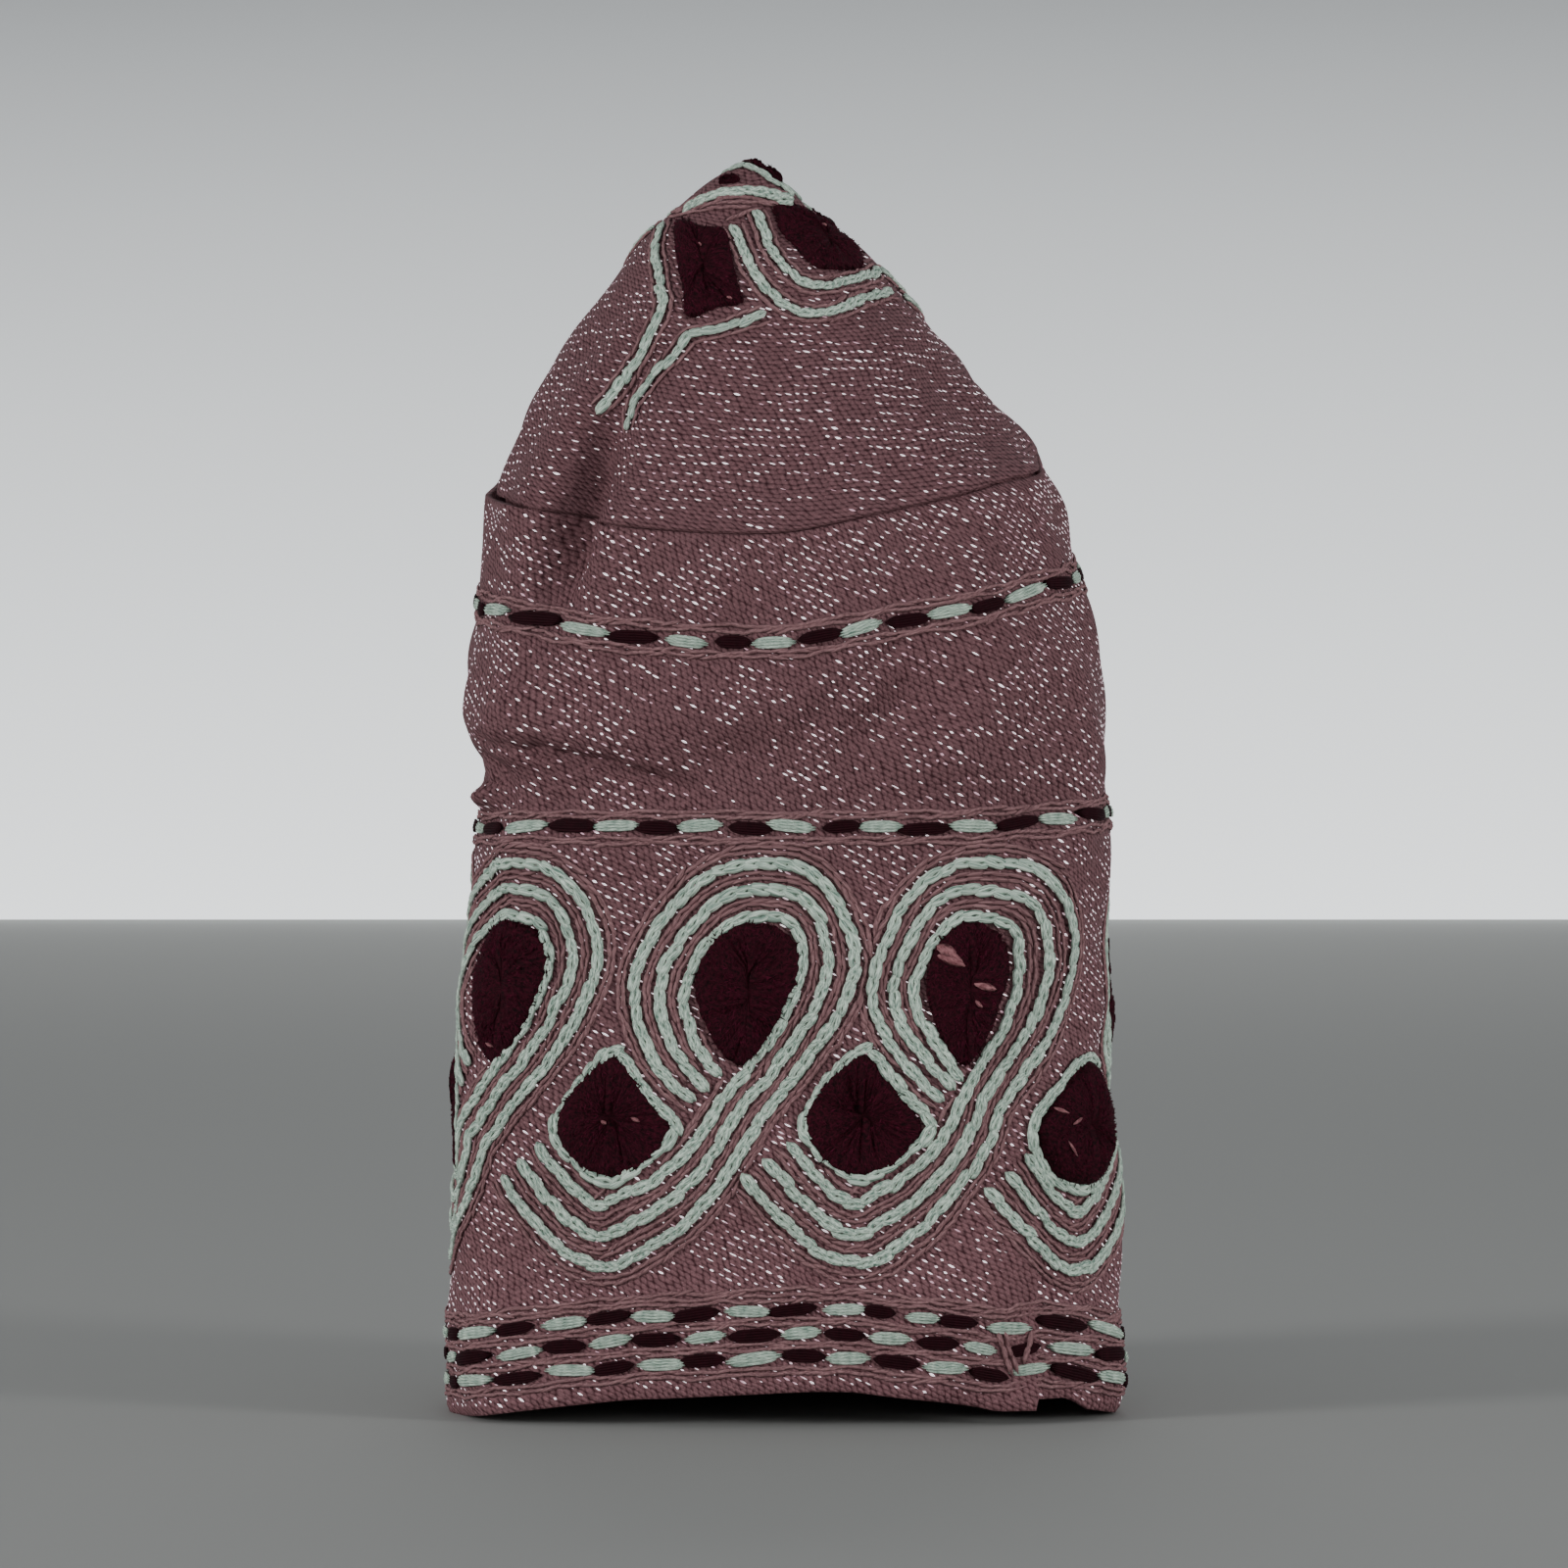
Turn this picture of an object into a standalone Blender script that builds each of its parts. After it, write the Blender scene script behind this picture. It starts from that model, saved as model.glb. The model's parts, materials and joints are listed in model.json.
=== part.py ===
# Embroidered fila cap, standing on its rim with the crown pushed up into a point.
# Metres, +Z up. The side seen from the front faces -Y. The origin lies under the middle of the cap's
# box, on the surface that the rim stands on.
import functools
import math

import bpy
import numpy as np

# Driving dimensions of the cloth
cap_height = 0.326
rim_width = 0.171
rim_depth = 0.164
cloth_thickness = 0.0020
crown_tuck = 0.006
sewing_clearance = 0.0007
rim_lift = 0.0092

# Driving dimensions of the padded embroidery
pad_rise = 0.0030
crown_pad_rise = 0.0020
pad_edge = 0.0012
pad_clearance = 0.0006
teardrop_width = 0.0272
teardrop_length = 0.0362
teardrop_height = 0.1088
lozenge_width = 0.0285
lozenge_length = 0.0312
lozenge_height = 0.0768

# Height of the seam between side wall and crown, as a share of the cap's height
seam_share = 0.756
# Height of the last ring below the crown's point
tip_share = 0.992
# Where the point stands: shares of half the rim's width and half its depth
tip_right, tip_back = -0.0925, -0.13

# How much each ring narrows from its middle to its back, and widens to its front, as a share
back_taper = 0.110

# Facets: columns around the cap, and ring heights as shares of the cap's height
columns = 60
wall_rings = (0, 0.03, 0.075, 0.14, 0.202, 0.27, 0.336, 0.376, 0.416, 0.44, 0.459, 0.485, 0.503, 0.523,
              0.548, 0.578, 0.61, 0.642, 0.666, 0.692, 0.716)
dome_rings = (0.773, 0.790, 0.808, 0.830, 0.852, 0.874, 0.896, 0.915, 0.931, 0.942, 0.951, 0.960, 0.972, 0.984)

# Outer form of the cloth. Heights are shares of the cap's height, left and right shares of half the
# rim's width, front and back shares of half its depth. A ring's outline is a superellipse whose power
# is square. It nods down at the front and rolls up at the right by shares of the cap's height.
section_columns = ("height", "left", "right", "front", "back", "square", "nod", "roll")
sections = (
    (0.000, 1.000, 1.000, 1.000, 1.000, 3.4, 0.000, 0.0000),
    (0.075, 0.997, 1.008, 0.995, 0.995, 3.3, 0.000, 0.0000),
    (0.202, 0.980, 1.000, 0.980, 0.985, 3.3, 0.000, 0.0000),
    (0.336, 0.945, 0.985, 0.965, 0.975, 3.3, 0.000, 0.0000),
    (0.416, 0.925, 0.994, 0.955, 0.965, 3.3, 0.000, 0.0000),
    (0.459, 0.910, 0.987, 0.950, 0.950, 3.3, 0.002, 0.0000),
    (0.485, 0.895, 0.976, 0.930, 0.940, 3.2, 0.008, 0.0010),
    (0.521, 0.916, 0.984, 0.950, 0.950, 3.2, 0.023, 0.0030),
    (0.582, 0.966, 0.986, 0.990, 0.965, 3.0, 0.044, 0.0090),
    (0.650, 0.926, 0.925, 0.965, 0.940, 2.9, 0.063, 0.0135),
    (0.701, 0.908, 0.874, 0.940, 0.910, 2.8, 0.068, 0.0120),
    (0.756, 0.883, 0.784, 0.910, 0.880, 2.7, 0.070, 0.0120),
    (0.805, 0.802, 0.618, 0.820, 0.740, 2.5, 0.068, 0.0120),
    (0.866, 0.662, 0.416, 0.660, 0.530, 2.3, 0.058, 0.0095),
    (0.925, 0.468, 0.224, 0.470, 0.280, 2.2, 0.036, 0.0060),
    (0.954, 0.347, 0.108, 0.350, 0.120, 2.1, 0.016, 0.0030),
    (0.982, 0.228, 0.003, 0.230, -0.030, 2.0, 0.006, 0.0010),
    (0.992, 0.155, -0.025, 0.190, -0.080, 2.0, 0.003, 0.0000),
)

# How far the rim stands off the surface, as shares of rim_lift, round the front. A turn is a share
# of the way round, from the front towards +X. The jump is the lapped seam of the wall's two ends.
lift_columns = ("turn", "share")
lifts = (
    (-0.170, 0.00),
    (-0.140, 0.15),
    (-0.110, 0.45),
    (-0.066, 0.76),
    (0.000, 0.96),
    (0.028, 1.00),
    (0.078, 0.62),
    (0.108, 0.33),
    (0.118, 0.60),
    (0.150, 0.28),
    (0.180, 0.00),
)
# The lift is whole up to the first height and gone above the second
lift_fade = (0.08, 0.25)

# Folds that a hand can feel: each is a hollow along a line from start to end. Its half width is a
# share of the cap's height, and its depth a share of the rim's width. A negative depth swells out.
fold_columns = ("start_turn", "start_height", "end_turn", "end_height", "half_width", "depth")
folds = (
    (-0.300, 0.541, -0.060, 0.509, 0.022, 0.022),
    (-0.092, 0.846, -0.106, 0.716, 0.032, 0.026),
    (-0.160, 0.806, -0.185, 0.716, 0.040, -0.010),
    (0.020, 0.567, 0.090, 0.602, 0.030, 0.014),
    (0.100, 0.551, 0.190, 0.611, 0.026, 0.012),
    (-0.060, 0.589, 0.020, 0.610, 0.032, -0.012),
    (0.330, 0.560, 0.450, 0.530, 0.026, 0.014),
    (0.560, 0.590, 0.640, 0.545, 0.028, 0.014),
    (-0.170, 0.948, 0.130, 0.950, 0.011, 0.011),
)

# Share of its depth's half wave that a fold has already at its ends, and how fast it falls away beside
fold_end_share, fold_sharpness = 0.12, 1.6

# The nine units of the band, each a teardrop and the lozenge below it to its left. Turns are shares of
# the way round, widths are shares of teardrop_width and lozenge_width.
unit_columns = ("teardrop_turn", "teardrop_share", "lozenge_turn", "lozenge_share")
band_units = (
    (-0.1380, 1.08, -0.2000, 1.00),
    (-0.0180, 1.00, -0.0775, 1.02),
    (0.0835, 0.80, 0.0350, 1.04),
    (0.2360, 0.90, 0.1470, 1.18),
    (0.3390, 1.00, 0.2820, 1.00),
    (0.4410, 0.96, 0.3860, 1.02),
    (0.5440, 1.00, 0.4860, 0.98),
    (0.6500, 0.98, 0.5920, 1.00),
    (0.7560, 1.00, 0.6970, 1.02),
)

# Outlines of the pads, as shares of half the width (to the right) and half the length (up)
teardrop_outline = (
    (0.10, 1.00), (0.62, 0.88), (0.95, 0.62), (0.98, 0.24), (0.76, -0.10), (0.50, -0.52),
    (0.10, -0.90), (-0.16, -1.00), (-0.45, -0.87), (-0.80, -0.46), (-0.97, -0.06), (-0.97, 0.32),
    (-0.74, 0.70), (-0.34, 0.94),
)
lozenge_outline = (
    (0.02, 1.00), (0.34, 0.70), (0.68, 0.26), (1.00, -0.16), (0.84, -0.54), (0.48, -0.87),
    (-0.04, -1.00), (-0.52, -0.88), (-0.84, -0.56), (-1.00, -0.14), (-0.84, 0.30), (-0.34, 0.82),
)
patch_outline = (
    (-0.88, 0.97), (-0.30, 0.93), (0.48, 0.74), (0.62, 0.34), (0.84, -0.16), (1.00, -0.66),
    (0.60, -0.82), (0.00, -0.94), (-0.62, -1.00), (-0.82, -0.60), (-0.97, 0.00), (-0.97, 0.60),
)
oval_outline = (
    (0.00, 1.00), (0.52, 0.84), (0.88, 0.46), (1.00, 0.00), (0.88, -0.46), (0.52, -0.84),
    (0.00, -1.00), (-0.52, -0.84), (-0.88, -0.46), (-1.00, 0.00), (-0.88, 0.46), (-0.52, 0.84),
)
# The padded flowers round the crown's point. Width and length are metres, lean is degrees clockwise.
crown_pad_columns = ("turn", "height", "width", "length", "lean", "outline")
crown_pads = (
    (-0.042, 0.9345, 0.0190, 0.0300, 0, patch_outline),
    (0.155, 0.9440, 0.0275, 0.0185, 30, oval_outline),
    (0.385, 0.9260, 0.0200, 0.0180, 0, oval_outline),
    (0.505, 0.9160, 0.0190, 0.0230, 0, patch_outline),
    (0.625, 0.9180, 0.0190, 0.0190, 0, oval_outline),
)

colours = {
    "mauve_cloth": (0.180, 0.095, 0.100, 1.0),
    "maroon_thread": (0.022, 0.002, 0.006, 1.0),
}


def clear_scene():
    for old in list(bpy.data.objects):
        bpy.data.objects.remove(old)


def smooth_step(value, low, high):
    share = min(max((value - low) / (high - low), 0.0), 1.0)
    return share * share * (3 - 2 * share)


def smooth_value(xs, ys, x):
    """The value at x of a curve through the points, which doesn't swing past them."""
    steps = np.diff(xs)
    slopes = np.diff(ys) / steps
    tangents = np.zeros(len(xs))
    tangents[0], tangents[-1] = slopes[0], slopes[-1]
    same_way = slopes[:-1] * slopes[1:] > 0
    sums = np.where(same_way, slopes[:-1] + slopes[1:], 1)
    tangents[1:-1] = np.where(same_way, 2 * slopes[:-1] * slopes[1:] / sums, 0)
    i = int(min(max(np.searchsorted(xs, x) - 1, 0), len(xs) - 2))
    t = min(max((x - xs[i]) / steps[i], 0.0), 1.0)
    return (
        (2 * t**3 - 3 * t**2 + 1) * ys[i]
        + (t**3 - 2 * t**2 + t) * steps[i] * tangents[i]
        + (3 * t**2 - 2 * t**3) * ys[i + 1]
        + (t**3 - t**2) * steps[i] * tangents[i + 1]
    )


def section_at(height):
    table = np.array(sections)
    values = [smooth_value(table[:, 0], table[:, k], height) for k in range(1, table.shape[1])]
    return dict(zip(section_columns[1:], values))


@functools.lru_cache(maxsize=None)
def ring(height):
    """Turns and points (x, y, z) round one ring of the outer form, before folds and the rim's lift."""
    s = section_at(height)
    half_width = (s["left"] + s["right"]) / 2 * rim_width / 2
    half_depth = (s["front"] + s["back"]) / 2 * rim_depth / 2
    middle_x = (s["right"] - s["left"]) / 2 * rim_width / 2
    middle_y = (s["back"] - s["front"]) / 2 * rim_depth / 2
    angles = np.radians(np.arange(-90.0, 270.01, 0.5))
    across = np.sign(np.cos(angles)) * np.abs(np.cos(angles)) ** (2 / s["square"])
    along = np.sign(np.sin(angles)) * np.abs(np.sin(angles)) ** (2 / s["square"])
    across = across * (1 - back_taper * along)
    across = across / across.max()
    x = middle_x + half_width * across
    y = middle_y + half_depth * along
    z = cap_height * (height + s["nod"] * along + s["roll"] * across)
    lengths = np.concatenate([[0], np.cumsum(np.hypot(np.diff(x), np.diff(y)))])
    return lengths / lengths[-1], np.stack([x, y, z], 1), lengths[-1]


def lift_at(turn, height):
    table = dict(zip(lift_columns, zip(*lifts)))
    near = (turn + 0.5) % 1.0 - 0.5
    share = float(np.interp(near, table["turn"], table["share"]))
    return rim_lift * share * (1 - smooth_step(height, *lift_fade))


def fold_depth(turn, height):
    """How far the folds press the cloth in at a place."""
    girth = ring(round(height, 4))[2]
    total = 0.0
    for row in folds:
        fold = dict(zip(fold_columns, row))
        around = ((turn - fold["start_turn"] + 0.5) % 1.0 - 0.5) * girth
        up = (height - fold["start_height"]) * cap_height
        run_around = (fold["end_turn"] - fold["start_turn"]) * girth
        run_up = (fold["end_height"] - fold["start_height"]) * cap_height
        share = (around * run_around + up * run_up) / (run_around**2 + run_up**2)
        share = min(max(share, 0.0), 1.0)
        away = math.hypot(around - share * run_around, up - share * run_up)
        ends = math.sin(math.pi * (fold_end_share + (1 - 2 * fold_end_share) * share))
        spread = math.exp(-fold_sharpness * (away / (fold["half_width"] * cap_height)) ** 2)
        total += fold["depth"] * rim_width * ends * spread
    return total


def plain_point(turn, height):
    turns, points, _ = ring(height)
    place = turn % 1.0
    return np.array([np.interp(place, turns, points[:, k]) for k in range(3)])


def outward(point, turn, height):
    """Unit normal of the plain form, out of the cloth."""
    small_turn, small_height = 0.004, 0.004
    lower, upper = max(height - small_height, 0.0), min(height + small_height, tip_share)
    around = plain_point(turn + small_turn, height) - plain_point(turn - small_turn, height)
    up = plain_point(turn, upper) - plain_point(turn, lower)
    normal = np.cross(around, up)
    return normal / np.linalg.norm(normal)


def cap_point(turn, height, inset=0.0, level=False):
    """A point of the cloth, pressed in by its folds and by inset. level keeps an inset horizontal."""
    point = plain_point(turn, height)
    normal = outward(point, turn, height)
    if level:
        normal = np.array([normal[0], normal[1], 0.0]) / math.hypot(normal[0], normal[1])
    point = point - normal * (inset + fold_depth(turn, height))
    point[2] += lift_at(turn, height)
    return point, normal


def cloth_ring(height, inset, level=False):
    return [cap_point(k / columns, height, inset, level)[0] for k in range(columns)]


def add_object(name, vertices, faces, material):
    mesh = bpy.data.meshes.new(name)
    mesh.from_pydata([tuple(v) for v in vertices], [], faces)
    mesh.validate()
    mesh.shade_smooth()
    mesh.set_sharp_from_angle(angle=math.radians(50))
    mesh.materials.append(material)
    made = bpy.data.objects.new(name, mesh)
    bpy.context.scene.collection.objects.link(made)
    return made


def make_material(name):
    material = bpy.data.materials.new(name)
    material.use_nodes = True
    shader = material.node_tree.nodes["Principled BSDF"]
    shader.inputs["Base Color"].default_value = colours[name]
    shader.inputs["Roughness"].default_value = 0.8
    shader.inputs["Metallic"].default_value = 0.0
    return material


def join_rings(first, second, count=columns, flip=False):
    """Quads between two rings of vertex numbers that start at first and second."""
    quads = []
    for k in range(count):
        after = (k + 1) % count
        quad = (first + k, first + after, second + after, second + k)
        quads.append(quad[::-1] if flip else quad)
    return quads


def make_side_wall(material):
    """The tube of embroidered cloth, open at the rim and at the seam."""
    tucked_edge = seam_share - crown_tuck / cap_height
    heights = [h for h in wall_rings if h < tucked_edge - 0.002] + [tucked_edge, seam_share]
    vertices, faces = [], []
    for inset in (0.0, cloth_thickness):
        for h in heights:
            vertices += cloth_ring(h, inset, level=h in (0, tucked_edge, seam_share))
    rings = len(heights)
    for j in range(rings - 1):
        faces += join_rings(j * columns, (j + 1) * columns)
        faces += join_rings((rings + j) * columns, (rings + j + 1) * columns, flip=True)
    faces += join_rings(rings * columns, 0)
    faces += join_rings((rings - 1) * columns, (2 * rings - 1) * columns)
    return add_object("side_wall", vertices, faces, material)


def make_crown(material):
    """The pointed crown, whose raw edge is tucked inside the side wall at the seam."""
    tucked_edge = seam_share - crown_tuck / cap_height
    heights = [tucked_edge, seam_share] + [h for h in dome_rings if h > seam_share + 0.01] + [tip_share]
    seat = cloth_thickness + sewing_clearance
    tip = np.array([tip_right * rim_width / 2, tip_back * rim_depth / 2, cap_height])
    vertices, faces, tips = [], [], []
    for inner in (0.0, cloth_thickness):
        for h in heights:
            inset = inner + seat * (1 - smooth_step(h, seam_share, seam_share + 0.05))
            vertices += cloth_ring(h, inset, level=h in (tucked_edge, seam_share))
        tips.append(tip - np.array([0, 0, inner]))
    rings = len(heights)
    outer_tip = len(vertices)
    vertices += tips
    for j in range(rings - 1):
        faces += join_rings(j * columns, (j + 1) * columns)
        faces += join_rings((rings + j) * columns, (rings + j + 1) * columns, flip=True)
    faces += join_rings(rings * columns, 0)
    for k in range(columns):
        after = (k + 1) % columns
        top, under = (rings - 1) * columns, (2 * rings - 1) * columns
        faces.append((top + k, top + after, outer_tip))
        faces.append((under + after, under + k, outer_tip + 1))
    return add_object("crown", vertices, faces, material)


def pad_point(turn, height, across, up, stand_off):
    """The point of a pad that lies across and up from its middle, in metres along the cloth."""
    step = 0.01
    above, below = min(height + step, tip_share), height - step
    climb = np.linalg.norm(cap_point(turn, above)[0] - cap_point(turn, below)[0])
    here = min(height + up * (above - below) / climb, tip_share)
    girth = ring(round(here, 4))[2]
    point, normal = cap_point(turn + across / girth, here)
    return point + normal * stand_off


def make_pad(name, place, size, outline, full_rise, material):
    """A low cushion of maroon thread, hollowed a little at its heart, that stands just off the cloth.

    place is the turn and height of its middle. size is its width, its length and its lean clockwise.
    """
    turn, height = place
    width, length, lean = size
    ring_shares = ((1.0, 0.0), (1.0, pad_edge), (0.72, 0.86 * full_rise), (0.36, full_rise))
    heart_rise = 0.72 * full_rise
    count = len(outline)
    cosine, sine = math.cos(math.radians(lean)), math.sin(math.radians(lean))
    vertices, faces = [], []

    def point_at(right, top, rise):
        across = right * width / 2 * cosine + top * length / 2 * sine
        up = top * length / 2 * cosine - right * width / 2 * sine
        return pad_point(turn, height, across, up, pad_clearance + rise)

    # The top's rings run from the underside's edge to the heart. The underside has one more, halfway in
    for share, rise in ring_shares:
        vertices += [point_at(share * x, share * y, rise) for x, y in outline]
    top_middle = len(vertices)
    vertices.append(point_at(0, 0, heart_rise))
    under = len(vertices)
    vertices += [point_at(0.5 * x, 0.5 * y, 0) for x, y in outline]
    vertices.append(point_at(0, 0, 0))
    for j in range(len(ring_shares) - 1):
        faces += join_rings(j * count, (j + 1) * count, count, flip=True)
    faces += join_rings(0, under, count)
    last = (len(ring_shares) - 1) * count
    for k in range(count):
        after = (k + 1) % count
        faces.append((last + after, last + k, top_middle))
        faces.append((under + k, under + after, under + count))
    return add_object(name, vertices, faces, material)


def make_band_pads(material):
    """Nine teardrops in the loops of the band, and the nine lozenges below and between them."""
    for number, row in enumerate(band_units, start=1):
        unit = dict(zip(unit_columns, row))
        place = (unit["teardrop_turn"], teardrop_height / cap_height)
        size = (unit["teardrop_share"] * teardrop_width, teardrop_length, 0)
        make_pad(f"teardrop_pad_{number}", place, size, teardrop_outline, pad_rise, material)
        place = (unit["lozenge_turn"], lozenge_height / cap_height)
        size = (unit["lozenge_share"] * lozenge_width, lozenge_length, 0)
        make_pad(f"lozenge_pad_{number}", place, size, lozenge_outline, pad_rise, material)


def make_crown_pads(material):
    for number, row in enumerate(crown_pads, start=1):
        pad = dict(zip(crown_pad_columns, row))
        place = (pad["turn"], pad["height"])
        size = (pad["width"], pad["length"], pad["lean"])
        make_pad(f"crown_pad_{number}", place, size, pad["outline"], crown_pad_rise, material)


def centre_on_origin(made):
    """Moves every piece alike, so that the whole cap's box has its middle over the origin."""
    corners = np.array([vertex.co for piece in made for vertex in piece.data.vertices])
    middle = (corners.min(axis=0) + corners.max(axis=0)) / 2
    for piece in made:
        piece.location = (-middle[0], -middle[1], 0)


def main():
    clear_scene()
    cloth = make_material("mauve_cloth")
    thread = make_material("maroon_thread")
    make_side_wall(cloth)
    make_crown(cloth)
    make_band_pads(thread)
    make_crown_pads(thread)
    centre_on_origin(list(bpy.context.scene.objects))


main()
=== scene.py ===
import json
import math

import bpy
import numpy as np
from mathutils import Matrix, Vector
from mathutils.bvhtree import BVHTree

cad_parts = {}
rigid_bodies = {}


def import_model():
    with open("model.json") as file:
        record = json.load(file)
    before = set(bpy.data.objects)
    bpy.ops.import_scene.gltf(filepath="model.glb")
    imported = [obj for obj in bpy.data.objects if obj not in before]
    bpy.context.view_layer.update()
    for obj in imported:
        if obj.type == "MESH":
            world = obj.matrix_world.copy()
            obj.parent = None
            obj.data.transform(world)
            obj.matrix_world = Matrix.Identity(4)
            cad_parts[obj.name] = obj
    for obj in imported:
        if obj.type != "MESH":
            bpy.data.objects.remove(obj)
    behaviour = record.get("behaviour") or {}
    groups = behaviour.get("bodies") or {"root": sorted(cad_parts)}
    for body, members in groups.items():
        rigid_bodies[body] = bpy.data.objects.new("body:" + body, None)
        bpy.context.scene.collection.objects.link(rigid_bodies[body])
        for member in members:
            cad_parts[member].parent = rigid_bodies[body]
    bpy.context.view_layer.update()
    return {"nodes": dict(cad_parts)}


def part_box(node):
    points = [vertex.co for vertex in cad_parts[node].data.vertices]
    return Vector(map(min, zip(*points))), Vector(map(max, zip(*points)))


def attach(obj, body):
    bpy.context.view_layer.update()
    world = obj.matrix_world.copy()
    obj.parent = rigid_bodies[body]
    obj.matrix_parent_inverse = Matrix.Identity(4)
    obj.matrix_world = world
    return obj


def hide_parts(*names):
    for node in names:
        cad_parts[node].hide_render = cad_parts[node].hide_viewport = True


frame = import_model()

# Camera: eye level with the cap's waist, far off, as in the photo
cameraPlace = {
    "eye": (0.0008, -1.6, 0.154),
    "lens": 139.1,          # mm
    "sensor": 36.0,         # mm
    "tiltUp": 0.278,        # degrees
    "photoSize": 1600,      # pixels each way
}
photoMiddle = cameraPlace["photoSize"] / 2
photoFocal = cameraPlace["lens"] * cameraPlace["photoSize"] / cameraPlace["sensor"]


def linkNew(name, data):
    made = bpy.data.objects.new(name, data)
    bpy.context.scene.collection.objects.link(made)
    return made


def addCamera():
    camera = linkNew("viewCamera", bpy.data.cameras.new("viewCamera"))
    camera.data.lens = cameraPlace["lens"]
    camera.data.sensor_width = cameraPlace["sensor"]
    camera.location = cameraPlace["eye"]
    camera.rotation_euler = (math.radians(90 + cameraPlace["tiltUp"]), 0, 0)
    bpy.context.scene.camera = camera


def photoRay(column, row):
    # Where a pixel of the photo looks: the eye and a direction
    tilt = math.radians(cameraPlace["tiltUp"])
    right, up = (column - photoMiddle) / photoFocal, (photoMiddle - row) / photoFocal
    forward = math.cos(tilt) - up * math.sin(tilt)
    rise = math.sin(tilt) + up * math.cos(tilt)
    return Vector(cameraPlace["eye"]), Vector((right, forward, rise)).normalized()


# Helpers for node trees. A node that is given as a value stands for its first output
def socketOf(sockets, key):
    if isinstance(key, int):
        return sockets[key]
    return next(socket for socket in sockets if key in (socket.name, socket.identifier))


def feed(tree, node, inputs):
    for key, value in inputs.items():
        target = socketOf(node.inputs, key)
        if isinstance(value, bpy.types.Node):
            value = value.outputs[0]
        if isinstance(value, bpy.types.NodeSocket):
            tree.links.new(value, target)
        else:
            target.default_value = value


def addNode(tree, kind, inputs=None, **settings):
    node = tree.nodes.new(kind)
    for name, value in settings.items():
        setattr(node, name, value)
    feed(tree, node, inputs or {})
    return node


def addMath(tree, operation, *values):
    return addNode(tree, "ShaderNodeMath", dict(enumerate(values)), operation=operation)


def addVectorMath(tree, operation, *values, **named):
    return addNode(tree, "ShaderNodeVectorMath", {**dict(enumerate(values)), **named}, operation=operation)


def addRange(tree, value, low, high, toLow=0, toHigh=1):
    return addNode(tree, "ShaderNodeMapRange", {
        "Value": value, "From Min": low, "From Max": high, "To Min": toLow, "To Max": toHigh,
    })


def addNoise(tree, place, scale, detail, roughness=0.5):
    return addNode(tree, "ShaderNodeTexNoise", {
        "Vector": place, "Scale": scale, "Detail": detail, "Roughness": roughness,
    })


def objectPlace(tree):
    return addNode(tree, "ShaderNodeTexCoord").outputs["Object"]


def mixColours(tree, share, *colours):
    ends = [colour if isinstance(colour, bpy.types.NodeSocket) else (*colour, 1) for colour in colours]
    mix = addNode(tree, "ShaderNodeMix", {
        "Factor_Float": share, "A_Color": ends[0], "B_Color": ends[1],
    }, data_type="RGBA")
    return socketOf(mix.outputs, "Result_Color")


def newMaterial(name, colour, roughness, specular=0.15):
    material = bpy.data.materials.new(name)
    material.use_nodes = True
    tree = material.node_tree
    shader = tree.nodes["Principled BSDF"]
    feed(tree, shader, {"Base Color": (*colour, 1), "Roughness": roughness, "Specular IOR Level": specular})
    return material, tree, shader


# The stage
stageLook = {
    "floorColour": (0.36, 0.365, 0.35),
    "backColour": (0.60, 0.62, 0.63),
    "roughness": 0.8,
    "specular": 0.2,
    "glowLow": 2.35,        # the backdrop's own light at the floor and at its top
    "glowHigh": 0.00,
    "glowHeight": 1.50,
    "halfWidth": 9.0,
    "front": -4.0,
    "back": 7.2,
    "wallHeight": 7.0,
}


def addPlane(name, corners, colour):
    material, tree, shader = newMaterial(name, colour, stageLook["roughness"], stageLook["specular"])
    mesh = bpy.data.meshes.new(name)
    mesh.from_pydata(corners, [], [(0, 1, 2, 3)])
    mesh.materials.append(material)
    linkNew(name, mesh)
    return tree, shader


def addStage():
    side, front, back, top = (stageLook[key] for key in ("halfWidth", "front", "back", "wallHeight"))
    corners = [(-side, front, 0), (side, front, 0), (side, back, 0), (-side, back, 0)]
    addPlane("floor", corners, stageLook["floorColour"])
    corners = [(-side, back, 0), (side, back, 0), (side, back, top), (-side, back, top)]
    tree, shader = addPlane("backdrop", corners, stageLook["backColour"])
    height = addNode(tree, "ShaderNodeSeparateXYZ", {0: objectPlace(tree)}).outputs["Z"]
    glow = addRange(tree, height, 0, stageLook["glowHeight"], stageLook["glowLow"], stageLook["glowHigh"])
    feed(tree, shader, {"Emission Color": (*stageLook["backColour"], 1), "Emission Strength": glow})


# Soft studio lights: place, place that it points at, width in metres and power in watts
lights = {
    "leftLight": ((-2.5, -1.45, 0.75), (0, 0, 0.15), 0.8, 42),
    "rightLight": ((2.5, -1.45, 0.60), (0, 0, 0.15), 0.8, 38),
    "frontLight": ((-0.4, -3.0, 0.4), (0, 0, 0.12), 1.2, 10),
    "farLight": ((0, 4.8, 4.0), (0, 4.8, 0), 3.0, 46),
}
worldLight = {"Color": (0.92, 0.95, 1.0, 1), "Strength": 0.32}


def addLights():
    for name, (place, target, size, power) in lights.items():
        lamp = bpy.data.lights.new(name, "AREA")
        lamp.shape = "DISK"
        lamp.size = size
        lamp.energy = power
        made = linkNew(name, lamp)
        made.location = place
        made.rotation_euler = (Vector(target) - Vector(place)).to_track_quat("-Z", "Y").to_euler()
    world = bpy.data.worlds.new("studio")
    world.use_nodes = True
    feed(world.node_tree, world.node_tree.nodes["Background"], worldLight)
    bpy.context.scene.world = world


addCamera()
addStage()
addLights()
print("camera, stage and lights are up")


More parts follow.
